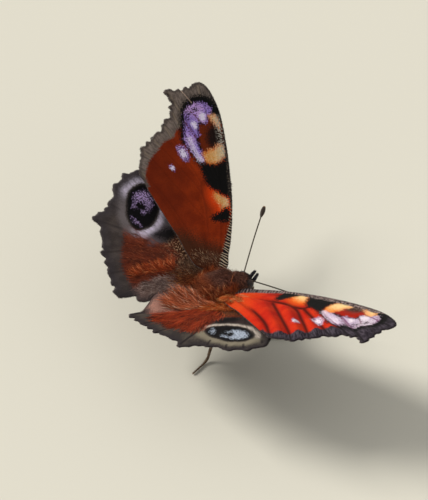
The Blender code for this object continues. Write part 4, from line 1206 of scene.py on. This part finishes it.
def hair_on_line(name, line, radii, count, form, finish, side, seed):
    """Short hair round a limb, its lie toward the limb's end."""
    length, width, lift = form
    rng = np.random.default_rng(seed)
    ahead, across, upward = frames_along(line)
    index = rng.integers(0, len(line) - 1, count)
    turn = rng.uniform(0, 2 * math.pi, count)
    outward = across[index] * np.cos(turn)[:, None] + upward[index] * np.sin(turn)[:, None]
    low = line[index, 2] < FLOOR_LEVEL + HAIRLESS_HEIGHT
    outward[low, 2] = np.abs(outward[low, 2])
    roots = line[index] + outward * np.asarray(radii)[index][:, None] * HAIR_DEPTH
    flow = unit(ahead[index] + rng.normal(0, LIMB_SPREAD, (count, 3)))
    mirror = np.array([1, side, 1])
    patch = inset(np.stack([turn / (2 * math.pi), index / len(line)], axis=1))
    form = [varied(rng, *row, count) for row in ((length, 0.7, 1.2), (width, 0.8, 1.2), (lift, 0.5, 1.2))]
    lay = (roots * mirror, flow * mirror, outward * mirror)
    coat(name, lay, form, patch, finish, rng, LIMB_SPREAD)


def strand_finish(name, dark, light, glint=None):
    """Hair whose strands differ, darkened toward the root with painted shade, with a few brighter ones."""
    ready = bpy.data.materials.get(name)
    if ready:
        return ready
    paint = Finish(name, 0.6, 0.2)
    strand = paint.number("strand")
    colour = paint.blend(dark, light, paint.fade(strand, 0.15, 0.85))
    if glint:
        colour = paint.blend(colour, glint, paint.fade(strand, GLINT_FROM, 0.94))
    # painted shade toward each strand's root, where the coat crowds
    shade = paint.times(paint.mark("reach", 0.6, 0.0), 0.75)
    return paint.done(paint.blend(colour, (0.25, 0.22, 0.2), shade, "MULTIPLY"))


def legs():
    finish = plain_dark("leg_scales", tone(60, 46, 36), tone(128, 104, 82))
    hair = strand_finish("leg_hair", tone(70, 52, 40), tone(150, 126, 100))
    for part, path, thickness, count, form in LEGS:
        for side in SIDES:
            line, radii = leg_form(path, thickness, part != "foreleg")
            piece = limb(side_name("jointed_" + part, side), line, radii, LIMB_SIDES["leg"], finish, side)
            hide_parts(side_name(part, side))
            hair_on_line(side_name(part + "_hair", side), line[:-3], radii[:-3], count, form, hair, side,
                         SEED + 40)


def leg_form(path, thickness, walking):
    """A leg's middle line and thickness, with its joints drawn in and a foot of five short segments."""
    line = []
    radii = []
    for i, (start, end) in enumerate(zip(path, path[1:])):
        foot = walking and i == len(path) - 2
        steps = LEG_STEPS * (2 if foot else 1)
        for t in np.arange(steps) / steps:
            line.append(np.array(start) * (1 - t) + np.array(end) * t)
            girth = thickness[i] * (1 - t) + thickness[i + 1] * t
            if foot:
                girth *= 1 - FOOT_NARROWING * abs(math.cos(t * math.pi * FOOT_SEGMENTS)) ** FOOT_SHARPNESS
            else:
                girth *= 1 + LEG_SWELL * math.sin(t * math.pi)
            radii.append(girth)
    line.append(np.array(path[-1], float))
    radii.append(thickness[-1] * FOOT_TIP)
    return np.array(line), np.array(radii)


# hair and fringe of the wings

# how high over the membrane the hair's roots sit, and how far a direction on the surface is felt out
ROOT_HEIGHT = 0.06
LIE_STEP = 0.05
WING_DRIFT = 0.2


def wing_coat(name, plan, roots, lie, form, finish, seed, over=ROOT_HEIGHT, streak=None):
    """Hair rooted on a wing's upper face, lying along its surface."""
    length, width, lift, spread = form
    rng = np.random.default_rng(seed)
    count = len(roots)
    over = wing_relief(plan, roots)[0] + over
    lie = unit(np.asarray(lie, float) + rng.normal(0, spread, (count, 2)))
    beside = np.stack([-lie[:, 1], lie[:, 0]], axis=1)
    here, ahead, beside = (wing_point(plan, roots + step * LIE_STEP, over) / MM - BODY_ORIGIN
                           for step in (np.zeros((count, 2)), lie, beside))
    ahead = unit(ahead - here)
    outward = unit(np.cross(ahead, beside - here))
    outward *= np.sign(outward[:, 2])[:, None]
    low = plan["edge"].min(axis=0) - 1
    patch = (roots - low) / (plan["edge"].max(axis=0) + 1 - low)
    form = [varied(rng, *row, count) for row in ((length, 0.7, 1.25), (width, 0.7, 1.3), (lift, 0.4, 1.3))]
    coat(name, (here, ahead, outward), form, patch, finish, rng, WING_DRIFT, streak)


def scatter_inside(outline, count, thinning, rng):
    """Random flat points inside a closed line, ever fewer within the thinning distance of it."""
    outline = np.asarray(outline, float)
    low, high = outline.min(axis=0), outline.max(axis=0)
    kept = np.zeros((0, 2))
    while len(kept) < count:
        tries = rng.uniform(low, high, (count * 2, 2))
        depth = depth_inside(tries, outline) / thinning
        kept = np.vstack([kept, tries[depth > rng.random(len(tries))]])
    return kept[:count]


# the fringe, which stands out further where a vein meets the edge
FRINGE_STEP = 0.045
FRINGE_LENGTH = 0.2
FRINGE_WIDTH = 0.07
FRINGE_SPREAD = 0.2
FRINGE_TOOTH = 0.2
FRINGE_TOOTH_WIDTH = 0.3
# how deep the fringe is rooted inside the edge, and how far under the middle of the membrane
FRINGE_SINK = 0.06
FRINGE_LEVEL = -0.04


def fringe(plan):
    """The short scales that stand out along the outer edge."""
    edge = plan["edge"]
    ring = np.vstack([edge, edge[:1]])
    lengths = np.linalg.norm(np.diff(ring, axis=0), axis=1)
    total = np.concatenate([[0], np.cumsum(lengths)])
    at = np.linspace(0, total[-1], int(total[-1] / FRINGE_STEP), endpoint=False)
    roots, ahead = (np.stack([np.interp(at + step, total, ring[:, i]) for i in (0, 1)], axis=1)
                    for step in (0.0, SIDE_STEP))
    step = ahead - roots
    outward = np.stack([-step[:, 1], step[:, 0]], axis=1)
    outward /= np.maximum(np.linalg.norm(outward, axis=1), 1e-9)[:, None]
    outward *= -np.sign(depth_inside(roots + outward * SIDE_STEP, edge))[:, None]
    finish = strand_finish("fringe_scales", tone(44, 38, 40), tone(112, 100, 96))
    vein = wing_relief(plan, roots)[1]
    length = FRINGE_LENGTH + FRINGE_TOOTH * np.exp(-(vein / FRINGE_TOOTH_WIDTH) ** 2)
    name = side_name(plan["name"] + "_fringe", plan["side"])
    form = (length, FRINGE_WIDTH, 0.0, FRINGE_SPREAD)
    wing_coat(name, plan, roots - outward * FRINGE_SINK, outward, form, finish, SEED + 61, FRINGE_LEVEL)


# each zone of hair on the wings
FORE_BASE_ZONE = [(-0.4, 2.2), (0.6, 2.4), (1.3, 3.0), (1.9, 4.2), (1.6, 5.6), (0.6, 5.2), (-0.5, 3.6)]
FORE_SUNLIT_ZONE = [(0.2, 2.8), (1.4, 2.6), (2.5, 2.9), (3.2, 3.8), (3.3, 5.6), (2.2, 5.9), (0.8, 4.9)]
FORE_ROOT_ZONE = [(0.3, 1.5), (1.6, 1.0), (2.8, 1.5), (3.4, 3.4), (3.4, 5.6), (2.2, 5.9), (0.8, 4.9)]
HIND_ROOT_ZONE = [(0.9, 1.2), (1.2, 3.4), (0.5, 5.2), (-1.4, 5.8), (-3.4, 5.0), (-5.4, 3.8), (-5.0, 2.0),
                  (-1.0, 0.6)]
HIND_DISC_ZONE = [(-2.4, 5.0), (-3.4, 7.4), (-5.0, 7.8), (-6.4, 9.0), (-7.6, 10.6), (-9.2, 10.7),
                  (-11.2, 8.2), (-12.1, 5.2), (-12.2, 3.4), (-7.0, 2.6), (-3.0, 2.4)]
HIND_VEIN_ZONE = [(-4.5, 3.4), (-4.5, 4.6), (-8.0, 5.0), (-11.4, 4.7), (-12.0, 3.9), (-8.0, 3.6)]
HIND_INNER_ZONE = [(-1.4, 0.6), (-1.8, 2.8), (-4.0, 3.6), (-6.2, 3.4), (-6.6, 2.0), (-5.6, 0.6)]
HIND_FOLD_ZONE = [(-4.8, 0.4), (-5.0, 3.2), (-8.0, 3.2), (-10.6, 3.0), (-11.6, 2.0), (-11.4, 1.0),
                  (-7.0, 0.4)]
HIND_FLAP_ZONE = [(-1.6, 0.8), (-2.0, 2.6), (-5.0, 3.6), (-8.0, 3.4), (-9.6, 2.6), (-9.6, 1.6), (-7.0, 0.8)]
# the left wings' hair takes darker tones than the right's, partly as painted shade
# each wing hair: its zone, count, thinning, centre of spread, length, width, lift, spread and tones
WING_HAIR = {
    ("forewing", 1): [("root", FORE_ROOT_ZONE, 420, 1.4, (0.0, -2.5), 0.7, 0.03, 0.15, 0.3, "speckled")],
    ("forewing", -1): [
        ("root", FORE_SUNLIT_ZONE, 1200, 1.2, (-2.5, 1.5), 1.4, 0.03, 0.25, 0.3, "golden"),
        ("base", FORE_BASE_ZONE, 1500, 0.8, (-2.5, 2.0), 1.3, 0.035, 0.55, 0.35, "golden")],
    ("hindwing", 1): [
        ("root", HIND_ROOT_ZONE, 2300, 1.6, (0.8, -0.5), 0.7, 0.035, 0.35, 0.6, "speckled"),
        ("disc", HIND_DISC_ZONE, 3600, 1.6, (1.5, 0.5), 0.9, 0.05, 0.1, 0.2, "dark_rust"),
        ("vein", HIND_VEIN_ZONE, 700, 0.9, (-3.0, -2.0), 1.4, 0.06, 0.45, 0.35, "bright_rust"),
        ("inner", HIND_INNER_ZONE, 1500, 0.9, (2.0, 1.0), 1.1, 0.04, 0.3, 0.35, "brown"),
        ("fold", HIND_FOLD_ZONE, 2200, 1.0, (2.0, 1.0), 0.9, 0.045, 0.3, 0.35, "grey")],
    ("hindwing", -1): [
        ("root", HIND_ROOT_ZONE, 3800, 1.6, (0.8, -0.5), 1.2, 0.035, 0.4, 0.45, "golden"),
        ("disc", HIND_DISC_ZONE, 4400, 1.4, (1.5, 0.5), 2.3, 0.05, 0.12, 0.06, "rust"),
        ("fold", HIND_FLAP_ZONE, 1900, 0.9, (1.0, 9.0), 2.0, 0.055, 0.7, 0.2, "orange")]}
# how far inside the wing's edge its hair keeps, and the least length that a direction is divided by
HAIR_INSET = 0.15
SHORTEST_AWAY = 0.3
HAIR_TONES = {
    "speckled": (tone(54, 38, 29), tone(146, 106, 80), tone(232, 192, 152)),
    "golden": (tone(124, 50, 18), tone(232, 116, 44), tone(248, 196, 126)),
    "brown": (tone(44, 24, 16), tone(150, 76, 40), tone(214, 150, 92)),
    "rust": (tone(64, 20, 8), tone(196, 72, 28), tone(214, 104, 54)),
    "dark_rust": (tone(78, 36, 24), tone(146, 68, 42), tone(186, 98, 60)),
    "orange": (tone(92, 36, 20), tone(240, 138, 90), tone(252, 212, 178)),
    "bright_rust": (tone(104, 40, 18), tone(216, 98, 46), tone(238, 146, 90)),
    "grey": (tone(90, 71, 66), tone(176, 148, 138), tone(212, 190, 182))}


def wing_hair(plans):
    """The fringe and the hair of every wing."""
    rng = np.random.default_rng(SEED + 70)
    for plan in plans:
        fringe(plan)
        wing_name = plan["name"]
        for name, zone, count, thinning, centre, *form, tones in WING_HAIR[wing_name, plan["side"]]:
            finish = strand_finish(tones + "_hair", *HAIR_TONES[tones])
            if wing_name == "forewing":
                zone = forewing_flat(zone)
            roots = scatter_inside(zone, count, thinning, rng)
            roots = roots[depth_inside(roots, plan["edge"]) > HAIR_INSET]
            seed = int(rng.integers(1, 100000))
            hair_zone(f"{wing_name}_{name}_hair", plan, roots, centre, form, finish, seed)


def hair_zone(name, plan, roots, centre, form, finish, seed):
    """Hair over a zone of a wing, spreading from a centre in streaks of like tone."""
    away = roots - np.array(centre)
    lie = away / np.maximum(np.linalg.norm(away, axis=1), SHORTEST_AWAY)[:, None]
    turn = np.arctan2(lie[:, 1], lie[:, 0])
    streak = 0.5 + 0.25 * sum(np.sin(turn * n + n) for n in STREAK_COUNTS)
    wing_coat(side_name(name, plan["side"]), plan, roots, lie, form, finish, seed, streak=streak)


# stage

def camera():
    azimuth = math.radians(CAMERA_AZIMUTH)
    elevation = math.radians(CAMERA_ELEVATION)
    right = np.array([math.cos(azimuth), math.sin(azimuth), 0.0])
    up = np.array([-math.sin(azimuth) * math.sin(elevation), math.cos(azimuth) * math.sin(elevation),
                   math.cos(elevation)])
    back = np.cross(right, up)
    aside = (PICTURE[0] / 2 - BODY_IN_PICTURE[0]) / PIXELS_PER_MM
    above = (BODY_IN_PICTURE[1] - PICTURE[1] / 2) / PIXELS_PER_MM
    spot = back * CAMERA_DISTANCE + right * aside + up * above
    data = bpy.data.cameras.new("photo_camera")
    data.sensor_fit = "VERTICAL"
    data.sensor_width = SENSOR
    data.sensor_height = SENSOR
    data.lens = SENSOR * CAMERA_DISTANCE * PIXELS_PER_MM / PICTURE[1]
    data.clip_start, data.clip_end = CLIP
    viewer = add_object("photo_camera", data)
    turn = Matrix((right, up, back)).transposed().to_4x4()
    viewer.matrix_world = Matrix.Translation(Vector(place(spot)[0])) @ turn
    bpy.context.scene.camera = viewer


def floor_and_light():
    shape = bmesh.new()
    bmesh.ops.create_grid(shape, x_segments=8, y_segments=8, size=FLOOR_REACH)
    mesh = bpy.data.meshes.new("floor")
    shape.to_mesh(mesh)
    shape.free()
    paint = Finish("pale_floor", 0.9, 0.1)
    soft = paint.noise(paint.object_place(), 3.0, 2.0)
    mesh.materials.append(paint.done(paint.blend(tone(206, 204, 192), tone(214, 212, 200), soft)))
    add_object("floor", mesh)
    sun = bpy.data.lights.new("key_light", "SUN")
    sun.energy = KEY_STRENGTH
    sun.angle = math.radians(KEY_SPREAD)
    sun.color = (1.0, 0.96, 0.9)
    key = add_object("key_light", sun)
    key.rotation_euler = Vector(KEY_DIRECTION).to_track_quat("Z", "Y").to_euler()
    world = bpy.data.worlds.new("soft_studio")
    world.use_nodes = True
    sky = world.node_tree.nodes["Background"].inputs
    sky["Color"].default_value = (1.0, 0.98, 0.95, 1.0)
    sky["Strength"].default_value = SKY_STRENGTH
    bpy.context.scene.world = world
    bpy.context.scene.view_settings.view_transform = "Standard"


BODY_LINE = smooth_line(BODY_STATIONS, BODY_STEP)[::-1]

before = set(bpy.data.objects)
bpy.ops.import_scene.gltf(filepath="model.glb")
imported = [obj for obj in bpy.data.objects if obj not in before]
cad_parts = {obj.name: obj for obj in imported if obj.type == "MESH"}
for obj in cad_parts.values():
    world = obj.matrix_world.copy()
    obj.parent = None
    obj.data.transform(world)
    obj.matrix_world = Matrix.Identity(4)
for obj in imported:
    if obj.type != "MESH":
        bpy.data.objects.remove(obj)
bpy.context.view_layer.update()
camera()
floor_and_light()
wings = all_wings()
skin()
all_fur()
eyes()
antennae()
palps_and_tongue()
legs()
wing_hair(wings)
